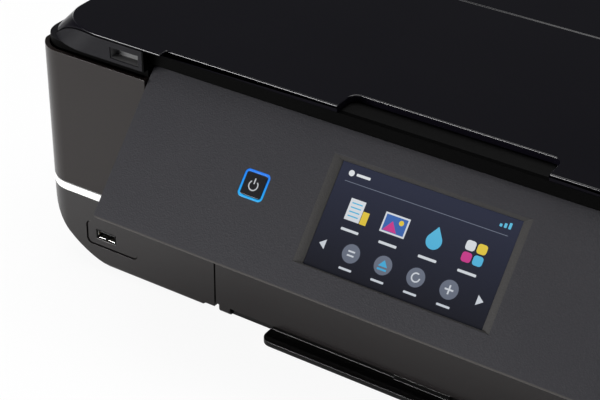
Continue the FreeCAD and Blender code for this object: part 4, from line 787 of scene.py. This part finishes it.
HEADER_FALL = 19.2
HEADER_LINE_FALL = 23.4
UPPER_COLUMNS = (-31.0, -10.5, 10.5, 31.0)
UPPER_BAR_FALL = 45.2
LOWER_COLUMNS = (-26.0, -8.7, 8.7, 26.0)
LOWER_FALL = 55.0
LOWER_BAR_FALL = 62.8
MARK_FOOT = -2.2
# Each colour stands a little higher than those under it
MARK_HEIGHTS = {"grey": 0.03, "white": 0.05, "blue": 0.08, "cyan": 0.09, "yellow": 0.11, "magenta": 0.12}


def header_marks(shapes):
    """A dot, a bar and three rising bars above a thin line."""
    shapes["grey"].append(rectangle(0, HEADER_LINE_FALL, 86, 0.25))
    shapes["white"] += [disc(-41.0, HEADER_FALL, 1.5), bar(-34.5, HEADER_FALL, 7.5, 1.3)]
    for step in range(3):
        shapes["cyan"].append(bar(38.0 + 2.2*step, HEADER_FALL + 0.4 - 0.4*step, 1.3, 1.4 + 0.8*step))


def page_marks(shapes, x):
    """A ruled page with a yellow one beside it."""
    shapes["white"].append(rectangle(x - 1.2, 35.4, 8.0, 10.5))
    shapes["cyan"] += [rectangle(x - 1.2, 32.2 + 2.1*line, 5.6, 0.6) for line in range(4)]
    shapes["yellow"].append(rectangle(x + 4.8, 37.6, 3.4, 6.2))


def picture_marks(shapes, x):
    """A framed hill under a sun."""
    shapes["white"].append(rectangle(x, 35.6, 13.0, 9.6))
    shapes["blue"].append(rectangle(x, 35.6, 11.4, 8.0))
    shapes["yellow"].append(disc(x + 2.8, 33.9, 1.25))
    shapes["magenta"].append([(x - 5.2, 39.3), (x - 1.6, 34.2), (x + 2.0, 39.3)])


def drop_marks(shapes, x):
    """A drop with a glint."""
    shapes["cyan"].append([(x, 29.6)] + arc(x, 36.6, 4.0, -40, 220, 20))
    shapes["white"].append(arc_band(x, 36.6, 2.9, 0.55, 20, 95, 10))


def tile_marks(shapes, x):
    """Four coloured tiles."""
    for number, tint in enumerate(("white", "yellow", "magenta", "cyan")):
        shapes[tint].append(bar(x - 2.9 + 5.8*(number % 2), 32.9 + 5.6*(number // 2), 4.9, 4.7))


def lower_marks(shapes):
    """Four round keys with simple signs, between two arrows."""
    for x in LOWER_COLUMNS:
        shapes["grey"].append(disc(x, LOWER_FALL, 4.6))
        shapes["white"].append(bar(x, LOWER_BAR_FALL, 6.8, 1.05))
    lines_x, eject_x, turn_x, plus_x = LOWER_COLUMNS
    shapes["white"] += [
        [(-43.5, LOWER_FALL), (-40.2, LOWER_FALL - 2.4), (-40.2, LOWER_FALL + 2.4)],
        [(43.5, LOWER_FALL), (40.2, LOWER_FALL + 2.4), (40.2, LOWER_FALL - 2.4)],
        rectangle(lines_x, LOWER_FALL - 1.0, 3.6, 0.8),
        rectangle(lines_x, LOWER_FALL + 1.0, 3.6, 0.8),
        arc_band(turn_x, LOWER_FALL, 2.4, 0.7, 0, 300, 24),
        rectangle(plus_x, LOWER_FALL, 4.4, 0.8),
        rectangle(plus_x, LOWER_FALL, 0.8, 4.4),
    ]
    shapes["cyan"] += [
        [(eject_x, LOWER_FALL - 2.6), (eject_x + 2.4, LOWER_FALL + 0.6), (eject_x - 2.4, LOWER_FALL + 0.6)],
        rectangle(eject_x, LOWER_FALL + 2.0, 4.8, 0.9),
    ]


def screen_marks():
    """Plain pictograms in two rows, each with a short bar under it."""
    shapes = {name: [] for name in MARK_COLOURS}
    header_marks(shapes)
    for x, add_marks in zip(UPPER_COLUMNS, (page_marks, picture_marks, drop_marks, tile_marks)):
        shapes["white"].append(bar(x, UPPER_BAR_FALL, 9.5, 1.25))
        add_marks(shapes, x)
    lower_marks(shapes)
    for name, outlines in shapes.items():
        panel_prisms(
            f"screen_marks_{name}", outlines, MARK_FOOT, MARK_HEIGHTS[name],
            MARK_FINISHES[name],
        )


# Floor and lights

FLOOR_REACH = 40.0


def floor_finish():
    """White paper that the camera sees almost plain, with the printer's soft shadow on it."""
    material = bpy.data.materials.new("pale_floor")
    material.use_nodes = True
    tree = material.node_tree
    tree.nodes.clear()
    out = tree.nodes.new("ShaderNodeOutputMaterial")
    paper = node(tree, "ShaderNodeBsdfDiffuse", Color=(0.86, 0.86, 0.86, 1))
    glow = node(tree, "ShaderNodeEmission", Color=(1, 1, 1, 1), Strength=1.0)
    path = tree.nodes.new("ShaderNodeLightPath")
    seen = math_node(tree, "MAXIMUM", path.outputs["Is Camera Ray"], path.outputs["Is Transmission Ray"])
    mirrored = math_node(tree, "MULTIPLY", path.outputs["Is Glossy Ray"], 0.1)
    share = math_node(tree, "MAXIMUM", math_node(tree, "MULTIPLY", seen, 0.93), mirrored)
    mix = tree.nodes.new("ShaderNodeMixShader")
    tree.links.new(share, mix.inputs["Fac"])
    tree.links.new(paper.outputs["BSDF"], mix.inputs[1])
    tree.links.new(glow.outputs["Emission"], mix.inputs[2])
    tree.links.new(mix.outputs["Shader"], out.inputs["Surface"])
    return material


def lay_floor():
    mesh = bpy.data.meshes.new("floor")
    corners = [
        (-FLOOR_REACH, -FLOOR_REACH, 0), (FLOOR_REACH, -FLOOR_REACH, 0),
        (FLOOR_REACH, FLOOR_REACH, 0), (-FLOOR_REACH, FLOOR_REACH, 0),
    ]
    mesh.from_pydata(corners, [], [(0, 1, 2, 3)])
    floor = bpy.data.objects.new("floor", mesh)
    floor.data.materials.append(floor_finish())
    scene.collection.objects.link(floor)


def area_light(name, place, aim, size, power):
    data = bpy.data.lights.new(name, "AREA")
    data.shape = "RECTANGLE"
    data.size, data.size_y = size
    data.energy = power
    lamp = bpy.data.objects.new(name, data)
    lamp.location = place
    lamp.rotation_mode = "QUATERNION"
    lamp.rotation_quaternion = (Vector(aim) - Vector(place)).to_track_quat("-Z", "Y")
    scene.collection.objects.link(lamp)


def light_studio():
    area_light("overhead", (0.1, 0.1, 2.0), (0, 0, 0), (2.2, 2.2), 50)
    area_light("front_left", (-1.4, -2.1, 0.3), (0, -0.1, 0.06), (1.6, 0.5), 70)
    area_light("right", (2.0, -0.3, 1.3), (0, 0, 0.1), (1.2, 1.2), 3)
    world = bpy.data.worlds.new("studio")
    world.use_nodes = True
    sky = world.node_tree.nodes["Background"]
    sky.inputs["Color"].default_value = (0.92, 0.94, 1.0, 1)
    sky.inputs["Strength"].default_value = 0.07
    scene.world = world


place_camera()
dress_nodes()
fit_contacts()
power_symbol()
screen_marks()
lay_floor()
light_studio()
scene.view_settings.view_transform = "Standard"
